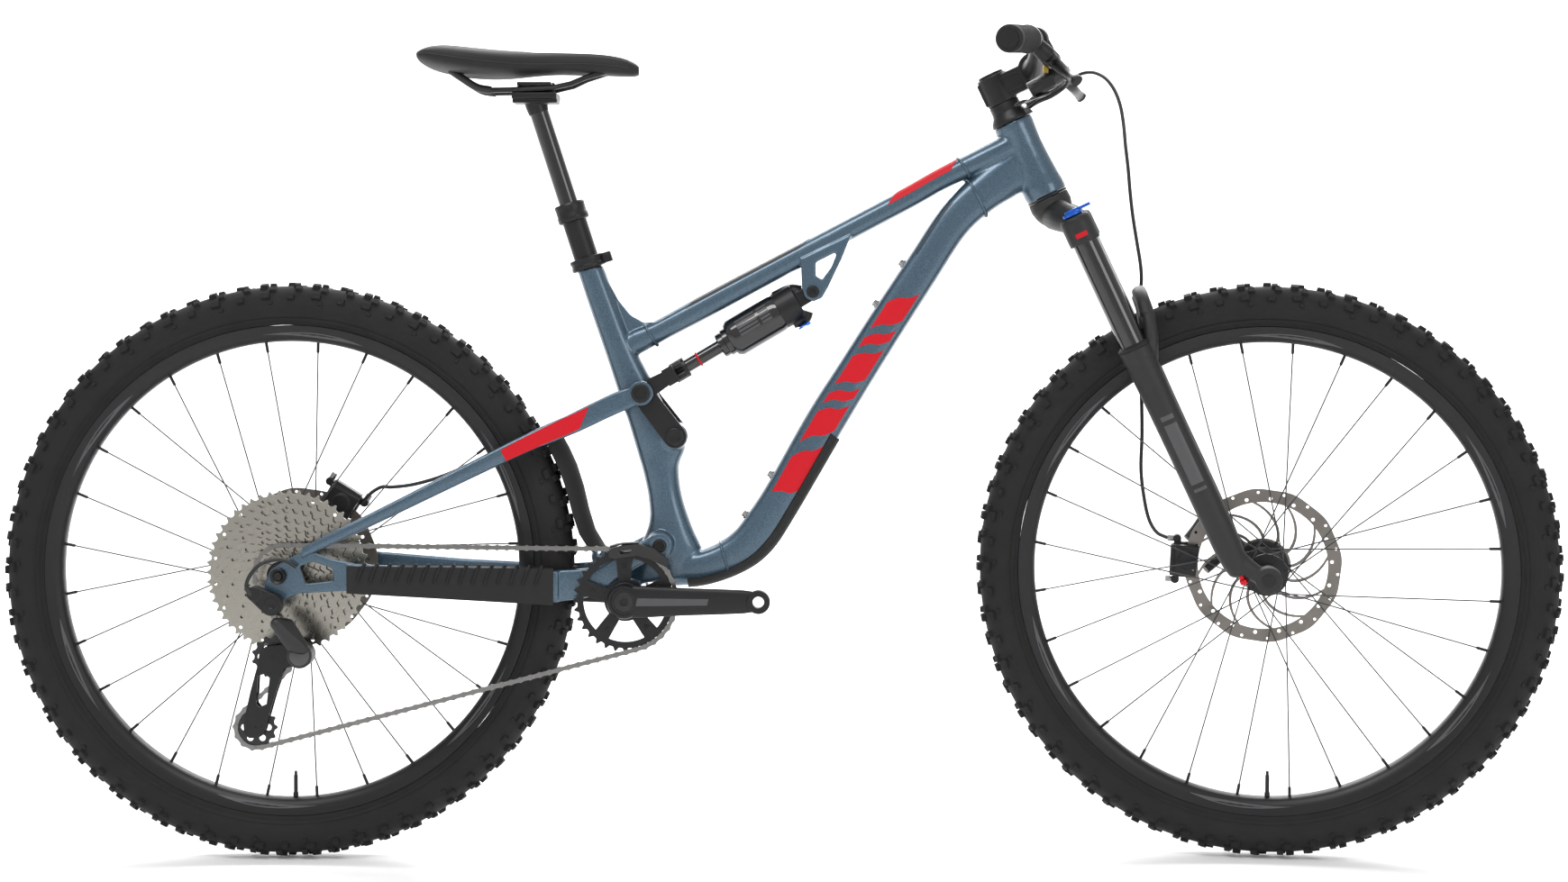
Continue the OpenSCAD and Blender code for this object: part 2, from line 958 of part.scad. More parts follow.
module rear_hub() {
    color([0.05, 0.05, 0.05])
        on_rear_axle()
            hub_shell([
                [0, -23.4], [16, -23.4], [27, -21.8], [27, -18], [16, -12], [15, 10], [16, 20], [27, 26], [27, 30],
                [17, 34], [17, 68], [0, 68]
            ], 6.08);
}

module rear_rotor() {
    color("silver")
        on_rear_axle()
            rotor(rear_rotor_y);
}

// ---- Rear end ----

// Side outline of a chainstay behind stay_front, in its own spread plane
module spread_stay(points, y0, w) {
    translate([stay_front[0], -stay_front[1], 0])
        rotate([0, 0, stay_spread])
            side_plate(points, y0, w);
}

module chainstay_side() {
    // Arm from the main pivot past the chainring
    side_plate([
        [-137, 417], [-163, 419], [-205, 398], [-228, 380], [-284, 374], [-284, 336], [-228, 330], [-222, 366],
        [-196, 378], [-150, 393], [-137, 397]
    ], -39, 10);
    spread_stay([[4, 374], [4, 336], [-150, 343], [-268, 356], [-268, 388], [-150, 380]], 0, 9);
    // Dropout plate and the strut up to the seatstay
    side_plate([
        [-646, 378], [-630, 390], [-596, 406], [-540, 388], [-540, 352], [-610, 348], [-640, 328], [-650, 334],
        [-646, 360]
    ], -dropout_y - 3.5, 7);
}

module chainstays() {
    color("steelblue")
        difference() {
            union() {
                chainstay_side();
                mirror([0, 1, 0])
                    chainstay_side();
                // Bridge between the stays, ahead of the tyre
                pin_y([-216, 395], 10, -38, 38);
            }
            pin_y(main_pivot, 7.5, -60, 60);
            pin_y(rear_axle, 6.05, -100, 100);
            pin_y(hanger, 5, -100, -60);
        }
}

module chainstay_guard() {
    color([0.06, 0.06, 0.06]) {
        spread_stay([[-2, 376], [-2, 329], [-120, 333], [-236, 342], [-262, 362], [-262, 386], [-236, 384.5]],
            -6.3, 3.4);
        for (i = [0 : 12])
            spread_stay([
                [-22 - i * 18, 376.6 + i * 0.65], [-10 - i * 18, 376.2 + i * 0.65], [-13 - i * 18, 381 + i * 0.65],
                [-19 - i * 18, 381.2 + i * 0.65]
            ], -3, 10);
    }
}

module rear_thru_axle() {
    color("dimgray") {
        pin_y(rear_axle, 6, -82, 82);
        pin_y(rear_axle, 10, -84.6, -81.8);
    }
}

module mudguard() {
    color([0.05, 0.05, 0.05])
        side_plate([
            [-279, 545], [-262, 540], [-246, 500], [-236, 450], [-222, 410], [-214, 396], [-220, 392], [-231, 409],
            [-242, 448], [-253, 495], [-267, 534], [-281, 541]
        ], 0, 56);
}

module shift_cable() {
    color("black")
        swept_tube(shift_housing, 2.5);
}

module seatstay_side() {
    difference() {
        union() {
            pin_y(stay_pivot, 16, -46, -39);
            side_plate([
                [-174, 618], [-237, 588], [-300, 561], [-312, 545], [-300, 536], [-250, 557], [-174, 586]
            ], -42.5, 7);
            rod([-292, -43, 550], [-582, -78, 409], 7);
        }
        pin_y(stay_pivot, 10, -60, -30);
    }
}

module seatstays() {
    color("steelblue") {
        difference() {
            union() {
                seatstay_side();
                mirror([0, 1, 0])
                    seatstay_side();
                pin_y([-284, 556], 7, -44, 44);
            }
            dropout_room();
        }
    }
}

// Room round the dropout plates for the seatstays' rear ends
module dropout_room() {
    for (s = [-1, 1])
        side_plate([
            [-660, 385], [-630, 391], [-597, 407.5], [-538, 389.5], [-538, 330], [-660, 330]
        ], s * (dropout_y + 3.5), 12);
}

module rear_caliper() {
    color([0.08, 0.08, 0.09]) {
        caliper(rear_axle, 58, rear_rotor_y);
        swept_tube(rear_hose, 2.5);
    }
}

// ---- Rocker and shock ----

module rocker_side() {
    difference() {
        union() {
            hull() {
                pin_y(rocker_pivot, 15, -31.5, -24.5, $fn = 32);
                pin_y(stay_pivot, 14, -31.5, -24.5, $fn = 32);
            }
            pin_y(stay_pivot, 6, -47, -31);
            pin_y(stay_pivot, 12, -49.5, -46.6);
        }
        pin_y(rocker_pivot, 6.03, -60, 60);
    }
}

module rocker() {
    color([0.08, 0.08, 0.09]) {
        rocker_side();
        mirror([0, 1, 0])
            rocker_side();
    }
}

module shock_can() {
    color([0.06, 0.06, 0.07])
        on_shock()
            difference() {
                union() {
                    translate([132, 0, 0])
                        rotate([0, 90, 0])
                            cylinder(r = 26, h = 74);
                    translate([116, 0, 0])
                        rotate([0, 90, 0])
                            cylinder(r = 17, h = 17);
                    translate([206, -22, -28])
                        cube([26, 44, 52]);
                    translate([226, -12, -11])
                        cube([30, 24, 22]);
                    translate([shock_len, 12, 0])
                        rotate([90, 0, 0])
                            cylinder(r = 11, h = 24);
                }
                translate([110, 0, 0])
                    rotate([0, 90, 0])
                        cylinder(r = 9.06, h = 92);
                translate([shock_len, 30, 0])
                    rotate([90, 0, 0])
                        cylinder(r = 5.01, h = 60);
            }
}

module shock_lever() {
    color("royalblue")
        on_shock()
            translate([222, -3, -33.5])
                difference() {
                    hull() {
                        cylinder(r = 7, h = 5, $fn = 32);
                        translate([8, -24, 0])
                            cylinder(r = 4, h = 5, $fn = 32);
                    }
                    translate([0, 0, -1])
                        cylinder(r = 3, h = 7);
                }
}

// Yoke that straddles the seat tube, and the damper shaft bolted to it
module shock_shaft() {
    color([0.06, 0.06, 0.07])
        on_shock() {
            translate([52, 0, 0])
                rotate([0, 90, 0])
                    cylinder(r = 9, h = 94);
            difference() {
                union() {
                    translate([36, -38, -12])
                        cube([16, 76, 24]);
                    for (s = [-1, 1]) {
                        translate([-2, s * 35 - 2.6, -9])
                            cube([42, 5.2, 18]);
                        translate([0, s * 35 + 2.6, 0])
                            rotate([90, 0, 0])
                                cylinder(r = 13, h = 5.2);
                    }
                }
                translate([0, 60, 0])
                    rotate([90, 0, 0])
                        cylinder(r = 10, h = 120);
            }
        }
}

// ---- Drivetrain ----

module cassette() {
    color([0.75, 0.72, 0.66])
        difference() {
            union() {
                for (i = [0 : len(cassette_teeth) - 1]) {
                    y = chain_y + (i - 4) * cog_pitch;
                    r = pitch / 2 / sin(180 / cassette_teeth[i]);
                    pin_y(rear_axle, r + 1.5, y - 0.8, y + 0.8);
                }
                pin_y(rear_axle, 17.5, -69, -25.6);
            }
            pin_y(rear_axle, 6.08, -100, 0);
            for (i = [0 : 5])
                translate([rear_axle[0], 0, rear_axle[1]])
                    rotate([0, i * 60, 0])
                        pin_y([74, 0], 13, -36, -20);
        }
}

module crankset() {
    color([0.06, 0.06, 0.06]) {
        // The spindle ends at the arms' inner faces, where each arm is clamped on
        pin_y(crank_c, 15, -57.95, 57.95);
        crank_arm(1, -1);
        crank_arm(-1, 1);
    }
}

// Arm that points forward (1) or back (-1) on the left (1) or right (-1) side
module crank_arm(forward, side) {
    tip = crank_c + [forward * crank_len, 0];
    difference() {
        union() {
            pin_y(crank_c, 22, min(side * 58, side * 76), max(side * 58, side * 76));
            side_plate([
                [crank_c[0], crank_c[1] + 20], [tip[0], tip[1] + 14], [tip[0], tip[1] - 14],
                [crank_c[0], crank_c[1] - 20]
            ], side * 70, 11);
            pin_y(tip, 15, min(side * 64.5, side * 78), max(side * 64.5, side * 78));
        }
        pin_y(tip, 7.14, -100, 100);
    }
}

module chainring() {
    color([0.07, 0.07, 0.07])
        difference() {
            union() {
                difference() {
                    pin_y(crank_c, ring_r + 1.5, chain_y - 0.9, chain_y + 0.9);
                    pin_y(crank_c, ring_r - 11, -70, -40);
                }
                for (i = [0 : 4])
                    translate([crank_c[0], chain_y, crank_c[1]])
                        rotate([0, 20 + i * 72, 0])
                            translate([17, -0.9, -6])
                                cube([ring_r - 25, 1.8, 12]);
                pin_y(crank_c, 23, -57.9, -50);
            }
            pin_y(crank_c, 15.05, -70, -40);
        }
}

module derailleur_body() {
    color([0.08, 0.08, 0.09]) {
        pin_y(hanger, 4.95, -97, -72);
        difference() {
            hull() {
                pin_y(hanger, 14, -98, -83, $fn = 32);
                pin_y(hanger + [-22, 14], 9, -98, -85, $fn = 32);
            }
            pin_y(hanger, 4.95, -100, -70);
        }
    }
}

module derailleur_link() {
    color([0.06, 0.06, 0.07])
        difference() {
            union() {
                hull() {
                    translate([hanger[0] + 7, -97, hanger[1] - 24])
                        sphere(r = 8, $fn = 24);
                    translate([hanger[0] + 20, -86, hanger[1] - 26])
                        sphere(r = 7, $fn = 24);
                    translate([knuckle[0] - 8, -88, knuckle[1] + 14])
                        sphere(r = 9, $fn = 24);
                    translate([knuckle[0] + 4, -84, knuckle[1] + 10])
                        sphere(r = 8, $fn = 24);
                }
                pin_y(knuckle, 16, -86, -61);
            }
            pin_y(knuckle, 5.05, -80, -50);
        }
}

module cage_plate(y, w) {
    difference() {
        side_plate([
            [knuckle[0] + 12, knuckle[1] + 2], [knuckle[0] - 4, knuckle[1] + 14], [guide_c[0] - 8, guide_c[1] + 15],
            [guide_c[0] - 18, guide_c[1] - 4], [tension_c[0] - 16, tension_c[1] + 6],
            [tension_c[0] - 10, tension_c[1] - 13], [tension_c[0] + 10, tension_c[1] - 13],
            [guide_c[0] + 16, guide_c[1] - 14], [knuckle[0] + 4, knuckle[1] - 14]
        ], y, w);
        pin_y(guide_c, 2.4, -80, -30);
        pin_y(tension_c, 2.4, -80, -30);
        pin_y((guide_c + tension_c) / 2, 8, -80, -30);
    }
}

module derailleur_cage() {
    color([0.1, 0.1, 0.1]) {
        cage_plate(-59, 2);
        cage_plate(-45.5, 2);
        pin_y(knuckle, 5, -79, -58);
        for (c = [guide_c, tension_c])
            pin_y(c, 2.35, -61, -44);
    }
}

module pulley(c) {
    difference() {
        union() {
            pin_y(c, pulley_r + 0.5, chain_y - 0.9, chain_y + 0.9);
            pin_y(c, 8, chain_y - 4, chain_y + 4);
        }
        pin_y(c, 2.45, -80, -30);
    }
}

module guide_pulley() {
    color("dimgray")
        pulley(guide_c);
}

module tension_pulley() {
    color("dimgray")
        pulley(tension_c);
}

// Inner and outer rows of side plates, as two thin bands round the sprockets
module chain() {
    color("silver")
        for (s = [-1, 1])
            translate([0, chain_y + s * 2 + 0.5, 0])
                rotate([90, 0, 0])
                    linear_extrude(1)
                        difference() {
                            polygon(chain_path(3.8));
                            polygon(chain_path(-3.8));
                        }
}

down_tube();
top_tube();
seat_tube();
head_tube();
bottom_bracket();
frame_hardware();
dropper_outer();
down_tube_guard();
chain_guide();
seatpost_inner();
saddle_rails();
saddle();
fork_crown();
stanchions();
stem();
handlebar();
grips();
brake_lever_bodies();
bar_controls();
bar_hoses();
front_brake_hose();
brake_lever_right();
brake_lever_left();
shift_paddle();
dropper_paddle();
compression_knob();
fork_lowers();
front_thru_axle();
front_caliper();
rebound_knob();
front_tyre();
front_rim();
front_spokes();
front_hub();
front_rotor();
chainstays();
chainstay_guard();
rear_thru_axle();
mudguard();
shift_cable();
seatstays();
rear_caliper();
rocker();
shock_can();
shock_lever();
shock_shaft();
rear_tyre();
rear_rim();
rear_spokes();
rear_hub();
rear_rotor();
cassette();
crankset();
chainring();
derailleur_body();
derailleur_link();
derailleur_cage();
guide_pulley();
tension_pulley();
chain();
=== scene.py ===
import bmesh
import bpy
import math
from mathutils import Matrix, Vector


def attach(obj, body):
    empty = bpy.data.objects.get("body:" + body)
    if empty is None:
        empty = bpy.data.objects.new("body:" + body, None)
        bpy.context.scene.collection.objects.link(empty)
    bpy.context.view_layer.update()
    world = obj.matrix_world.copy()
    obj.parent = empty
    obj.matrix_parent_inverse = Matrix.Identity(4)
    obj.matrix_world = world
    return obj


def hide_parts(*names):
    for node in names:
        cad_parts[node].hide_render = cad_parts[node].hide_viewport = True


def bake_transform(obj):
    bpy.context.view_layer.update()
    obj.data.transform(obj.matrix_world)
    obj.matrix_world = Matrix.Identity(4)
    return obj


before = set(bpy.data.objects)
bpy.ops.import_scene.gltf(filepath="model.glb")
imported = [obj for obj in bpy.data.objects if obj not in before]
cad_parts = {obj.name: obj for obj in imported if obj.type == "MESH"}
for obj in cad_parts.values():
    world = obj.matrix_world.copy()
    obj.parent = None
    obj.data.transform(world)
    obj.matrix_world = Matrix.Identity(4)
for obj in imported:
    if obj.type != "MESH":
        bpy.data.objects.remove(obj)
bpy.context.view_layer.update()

# ---------------------------------------------------------------- frames, in millimetres
STEER = (Matrix.Translation((584.685, 0, 350.869)) @ Matrix.Rotation(math.radians(-25), 4, "Y")
         @ Matrix.Rotation(math.radians(-8), 4, "Z"))
FRONT = STEER @ Matrix.Translation((50, 0, 0)) @ Matrix.Rotation(math.radians(25), 4, "Y")
REAR = Matrix.Translation((-630, 0, 372))
SEAT = Matrix.Translation((-243, 0, 762)) @ Matrix.Rotation(math.radians(-18), 4, "Y")
SHOCK = Matrix.Translation((-174, 0, 602)) @ Matrix.Rotation(-math.atan2(130, 220), 4, "Y")
ID = Matrix.Identity(4)
TO_Y = Matrix.Rotation(math.radians(-90), 4, "X")
TO_MINUS_Y = Matrix.Rotation(math.radians(90), 4, "X")
MIRROR = Matrix.Scale(-1, 4, (0, 1, 0))
STAY_PIVOT = (-174, 602)
STAY_SPREAD = math.radians(7.4)
CRANK = (-193, 339)
CHAIN_Y = -52
PITCH = 12.7


def pitch_r(teeth):
    return PITCH / 2 / math.sin(math.pi / teeth)


# ---------------------------------------------------------------- materials
def node_material(name):
    m = bpy.data.materials.new(name)
    m.use_nodes = True
    return m, m.node_tree.nodes, m.node_tree.links, m.node_tree.nodes["Principled BSDF"]


def material(name, color, rough=0.5, metal=0.0, coat=0.0, grain=0.0, grain_scale=400, spec=0.5, vary=0.0,
             vary_scale=12):
    m, nodes, links, p = node_material(name)
    p.inputs["Base Color"].default_value = (*color, 1)
    p.inputs["Roughness"].default_value = rough
    p.inputs["Metallic"].default_value = metal
    p.inputs["Coat Weight"].default_value = coat
    p.inputs["Coat Roughness"].default_value = 0.08
    p.inputs["Specular IOR Level"].default_value = spec
    coord = nodes.new("ShaderNodeTexCoord")
    if grain:
        n = nodes.new("ShaderNodeTexNoise")
        n.inputs["Scale"].default_value = grain_scale
        n.inputs["Detail"].default_value = 3
        b = nodes.new("ShaderNodeBump")
        b.inputs["Strength"].default_value = grain
        b.inputs["Distance"].default_value = 0.0004
        links.new(coord.outputs["Object"], n.inputs["Vector"])
        links.new(n.outputs["Fac"], b.inputs["Height"])
        links.new(b.outputs["Normal"], p.inputs["Normal"])
    if vary:
        n = nodes.new("ShaderNodeTexNoise")
        n.inputs["Scale"].default_value = vary_scale
        n.inputs["Detail"].default_value = 4
        r = nodes.new("ShaderNodeMapRange")
        r.inputs["To Min"].default_value = max(0.02, rough - vary)
        r.inputs["To Max"].default_value = min(1, rough + vary)
        links.new(coord.outputs["Object"], n.inputs["Vector"])
        links.new(n.outputs["Fac"], r.inputs["Value"])
        links.new(r.outputs["Result"], p.inputs["Roughness"])
    return m


def paint(name, color, dark):
    """Metallic paint: fine flakes under a clear coat."""
    m, nodes, links, p = node_material(name)
    coord = nodes.new("ShaderNodeTexCoord")
    n = nodes.new("ShaderNodeTexNoise")
    n.inputs["Scale"].default_value = 900
    n.inputs["Detail"].default_value = 2
    ramp = nodes.new("ShaderNodeValToRGB")
    ramp.color_ramp.elements[0].position = 0.35
    ramp.color_ramp.elements[0].color = (*dark, 1)
    ramp.color_ramp.elements[1].position = 0.7
    ramp.color_ramp.elements[1].color = (*color, 1)
    links.new(coord.outputs["Object"], n.inputs["Vector"])
    links.new(n.outputs["Fac"], ramp.inputs["Fac"])
    links.new(ramp.outputs["Color"], p.inputs["Base Color"])
    p.inputs["Metallic"].default_value = 0.55
    p.inputs["Roughness"].default_value = 0.34
    p.inputs["Coat Weight"].default_value = 0.6
    p.inputs["Coat Roughness"].default_value = 0.08
    return m


PAINT = paint("frame_paint", (0.080, 0.140, 0.195), (0.036, 0.065, 0.096))
RED = material("red_graphic", (0.50, 0.006, 0.014), 0.50, spec=0.2)
DARK_LINE = material("dark_graphic", (0.012, 0.016, 0.022), 0.35, coat=0.5)
BLACK = material("black_anodised", (0.009, 0.009, 0.010), 0.40, 0.35, grain=0.10, vary=0.06)
MATTE = material("matte_black_paint", (0.010, 0.0098, 0.0098), 0.52, 0.1, grain=0.08, vary=0.08)
GLOSS = material("gloss_black", (0.006, 0.006, 0.007), 0.14, 0.3, coat=0.8)
PLASTIC = material("black_plastic", (0.010, 0.010, 0.011), 0.46, grain=0.12, vary=0.06)
TYRE = material("tyre_rubber", (0.0095, 0.0092, 0.0090), 0.74, spec=0.3, grain=0.25,
                grain_scale=260, vary=0.10, vary_scale=30)
RUBBER = material("rubber", (0.009, 0.009, 0.009), 0.66, spec=0.35, grain=0.2, vary=0.08)
COVER = material("saddle_cover", (0.010, 0.010, 0.0105), 0.60, spec=0.35, grain=0.5, grain_scale=900, vary=0.08)
STEEL = material("steel", (0.34, 0.335, 0.33), 0.28, 1.0, vary=0.08, vary_scale=60)
ROTOR = material("rotor_steel", (0.19, 0.175, 0.16), 0.36, 1.0, vary=0.10, vary_scale=40)
COGS = material("cassette_metal", (0.33, 0.315, 0.28), 0.26, 1.0, vary=0.08, vary_scale=50)
CHAIN = material("chain_steel", (0.20, 0.197, 0.19), 0.30, 1.0, vary=0.10, vary_scale=90)
SPOKE = material("spoke_steel", (0.05, 0.05, 0.054), 0.38, 0.5)
BLUE = material("blue_anodised", (0.02, 0.12, 0.55), 0.32, 0.7)
REDANO = material("red_anodised", (0.55, 0.01, 0.02), 0.32, 0.7)
GREY = material("grey_print", (0.055, 0.055, 0.058), 0.45)
BRASS = material("gold_screw", (0.55, 0.38, 0.10), 0.35, 1.0)


# ---------------------------------------------------------------- mesh building
def smooth_path(points, per=6):
    """Catmull-Rom through the points, as Vectors."""
    p = [Vector(q) for q in points]
    p = [2 * p[0] - p[1]] + p + [2 * p[-1] - p[-2]]
    out = []
    for i in range(1, len(p) - 2):
        for k in range(per):
            t = k / per
            out.append(0.5 * ((2 * p[i]) + (p[i + 1] - p[i - 1]) * t
                              + (2 * p[i - 1] - 5 * p[i] + 4 * p[i + 1] - p[i + 2]) * t * t
                              + (3 * p[i] - p[i - 1] - 3 * p[i + 1] + p[i + 2]) * t ** 3))
    out.append(p[-2])
    return out


class Shape:
    """Faces gathered in millimetres and turned into one piece."""

    def __init__(self):
        self.v = []
        self.f = []

    def add(self, verts, faces, m=ID):
        base = len(self.v)
        self.v += [tuple(m @ Vector(v)) for v in verts]
        self.f += [[base + i for i in f] for f in faces]
        return self

    def box(self, lo, hi, m=ID, taper=0.0):
        x0, y0, z0 = lo
        x1, y1, z1 = hi
        t = taper
        v = [(x0, y0, z0), (x1, y0, z0), (x1, y1, z0), (x0, y1, z0),
             (x0 + t, y0 + t, z1), (x1 - t, y0 + t, z1), (x1 - t, y1 - t, z1), (x0 + t, y1 - t, z1)]
        f = [(3, 2, 1, 0), (4, 5, 6, 7), (0, 1, 5, 4), (1, 2, 6, 5), (2, 3, 7, 6), (3, 0, 4, 7)]
        return self.add(v, f, m)

    def prism(self, outline, y0, y1, m=ID):
        n = len(outline)
        v = [(x, y0, z) for x, z in outline] + [(x, y1, z) for x, z in outline]
        f = [list(range(n)), list(range(2 * n - 1, n - 1, -1))]
        f += [(i, i + n, (i + 1) % n + n, (i + 1) % n) for i in range(n)]
        return self.add(v, f, m)

    def lathe(self, profile, m=ID, n=48, ring=False):
        """profile is (radius, height) round Z; ring joins its last point to its first."""
        v = []
        for r, h in profile:
            for k in range(n):
                a = 2 * math.pi * k / n
                v.append((r * math.cos(a), r * math.sin(a), h))
        rows = len(profile)
        f = []
        for i in range(rows if ring else rows - 1):
            j = (i + 1) % rows
            for k in range(n):
                q = (k + 1) % n
                f.append((i * n + k, i * n + q, j * n + q, j * n + k))
        if not ring:
            f.append(list(range(n - 1, -1, -1)))
            f.append([(rows - 1) * n + k for k in range(n)])
        return self.add(v, f, m)

    def loft(self, rings, m=ID, closed=False):
        n = len(rings[0])
        v = [p for r in rings for p in r]
        f = []
        for i in range(len(rings) if closed else len(rings) - 1):
            j = (i + 1) % len(rings)
            for k in range(n):
                q = (k + 1) % n
                f.append((i * n + k, i * n + q, j * n + q, j * n + k))
        if not closed:
            f.append(list(range(n - 1, -1, -1)))
            f.append([(len(rings) - 1) * n + k for k in range(n)])
        return self.add(v, f, m)

    def sweep(self, points, r, m=ID, n=14, per=6, closed=False, flat=1.0, up=(0, 1, 0)):
        """Round bar along a smooth path; r is a radius or a function of 0..1."""
        path = smooth_path(points, per) if per > 1 else [Vector(q) for q in points]
        rings = []
        side = None
        for i, p in enumerate(path):
            if closed:
                t = path[(i + 1) % len(path)] - path[i - 1]
            else:
                t = path[min(i + 1, len(path) - 1)] - path[max(i - 1, 0)]
            t.normalize()
            ref = side if side is not None else Vector(up)
            side = ref - t * ref.dot(t)
            if side.length < 1e-6:
                side = t.orthogonal()
            side.normalize()
            other = t.cross(side)
            rad = r(i / (len(path) - 1)) if callable(r) else r
            rings.append([p + rad * (math.cos(2 * math.pi * k / n) * side
                                     + flat * math.sin(2 * math.pi * k / n) * other) for k in range(n)])
        return self.loft(rings, m, closed)

    def rod(self, p, q, r, m=ID, n=20, r2=None):
        return self.sweep([p, q], (lambda t: r + (r2 - r) * t) if r2 is not None else r, m, n, per=1)

    def plate(self, outlines, y0, y1, m=ID, bevel=0.0):
        """Flat plate across the bike from outlines in (x, z); those inside others are holes."""
        c = bpy.data.curves.new("tmp", "CURVE")
        c.dimensions = "2D"
        c.fill_mode = "BOTH"
        for o in outlines:
            s = c.splines.new("POLY")
            s.points.add(len(o) - 1)
            for i, (x, z) in enumerate(o):
                s.points[i].co = (x, z, 0, 1)
            s.use_cyclic_u = True
        c.extrude = abs(y1 - y0) / 2 - bevel
        c.bevel_depth = bevel
        c.bevel_resolution = 1
        c.offset = -bevel
        ob = bpy.data.objects.new("tmp", c)
        bpy.context.scene.collection.objects.link(ob)
        bpy.context.view_layer.update()
        me = bpy.data.meshes.new_from_object(ob.evaluated_get(bpy.context.evaluated_depsgraph_get()))
        mid = (y0 + y1) / 2
        self.add([(v.co.x, mid - v.co.z, v.co.y) for v in me.vertices], [list(p.vertices) for p in me.polygons], m)
        bpy.data.objects.remove(ob)
        bpy.data.curves.remove(c)
        bpy.data.meshes.remove(me)
        return self

    def ball(self, c, r, m=ID, n=16):
        prof = [(max(0.001, r * math.sin(math.pi * i / n)), -r * math.cos(math.pi * i / n)) for i in range(n + 1)]
        return self.lathe(prof, m @ Matrix.Translation(c), n * 2)

    def bolt(self, c, y, side, r=5.0, head=3.0, m=ID, hole=0.55):
        """Socket screw whose head faces side along Y at (x, z) c."""
        inner = [(r * hole, 0.0), (r * hole, -head * 0.7), (0.01, -head * 0.7)]
        prof = [(0.01, -head), (r, -head), (r, -0.2 * head), (r * 0.88, 0)] + inner
        rot = TO_Y if side > 0 else TO_MINUS_Y
        return self.lathe(prof, m @ Matrix.Translation((c[0], y, c[1])) @ rot, 24)

    def piece(self, name, mat, body, slot=None, angle=35, bevel=0.0, segments=2, replaces=(), remesh=0.0,
              smooth=0, subsurf=0, bind=True, merge=False):
        me = bpy.data.meshes.new(name)
        me.from_pydata([tuple(c * 0.001 for c in v) for v in self.v], [], self.f)
        me.validate()
        me.update()
        return finish_mesh(me, name, mat, body, angle, bevel, segments, replaces, remesh, smooth, subsurf, bind,
                           merge)


def finish_mesh(me, name, mat, body, angle=35, bevel=0.0, segments=2, replaces=(), remesh=0.0, smooth=0,
                subsurf=0, bind=True, merge=False):
    bm = bmesh.new()
    bm.from_mesh(me)
    if merge:
        bmesh.ops.remove_doubles(bm, verts=bm.verts, dist=0.00001)
    bmesh.ops.recalc_face_normals(bm, faces=bm.faces)
    bm.to_mesh(me)
    bm.free()
    o = bpy.data.objects.new(name, me)
    bpy.context.scene.collection.objects.link(o)
    if remesh:
        r = o.modifiers.new("remesh", "REMESH")
        r.mode = "VOXEL"
        r.voxel_size = remesh * 0.001
        r.use_smooth_shade = True
    if smooth:
        s = o.modifiers.new("smooth", "SMOOTH")
        s.factor = 0.5
        s.iterations = smooth
    if bevel:
        b = o.modifiers.new("bevel", "BEVEL")
        b.width = bevel * 0.001
        b.segments = segments
        b.limit_method = "ANGLE"
        b.angle_limit = math.radians(40)
    if subsurf:
        s = o.modifiers.new("subsurf", "SUBSURF")
        s.levels = s.render_levels = subsurf
    if o.modifiers:
        bpy.context.view_layer.update()
        new = bpy.data.meshes.new_from_object(o.evaluated_get(bpy.context.evaluated_depsgraph_get()))
        o.modifiers.clear()
        o.data = new
        new.name = name
    o.data.materials.clear()
    o.data.materials.append(mat)
    o.data.shade_smooth()
    if angle < 180:
        o.data.set_sharp_from_angle(angle=math.radians(angle))
    if bind:
        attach(o, body)
    if replaces:
        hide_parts(*replaces)
    return o


def soften(node, name, mat, body, voxel=1.2, smooth=4, extra=None, angle=60):
    """Stands for a CAD node with its corners rounded like a forging."""
    s = Shape()
    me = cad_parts[node].data
    s.add([tuple(v.co * 1000) for v in me.vertices], [list(p.vertices) for p in me.polygons])
    if extra:
        extra(s)
    return s.piece(name, mat, body, None, angle, replaces=(node,), remesh=voxel, smooth=smooth)


def paint_node(node, mat):
    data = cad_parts[node].data
    data.materials.clear()
    data.materials.append(mat)


def arc(cx, cz, r, a0, a1, n=12):
    return [(cx + r * math.cos(math.radians(a0 + (a1 - a0) * i / n)),
             cz + r * math.sin(math.radians(a0 + (a1 - a0) * i / n))) for i in range(n + 1)]


def circle(cx, cz, r, n=32):
    return arc(cx, cz, r, 0, 360, n)[:-1]


def on_y(c, y=0):
    """Matrix that puts a lathe's axis along Y at (x, z) c; heights run from y."""
    return Matrix.Translation((c[0], y, c[1])) @ TO_Y


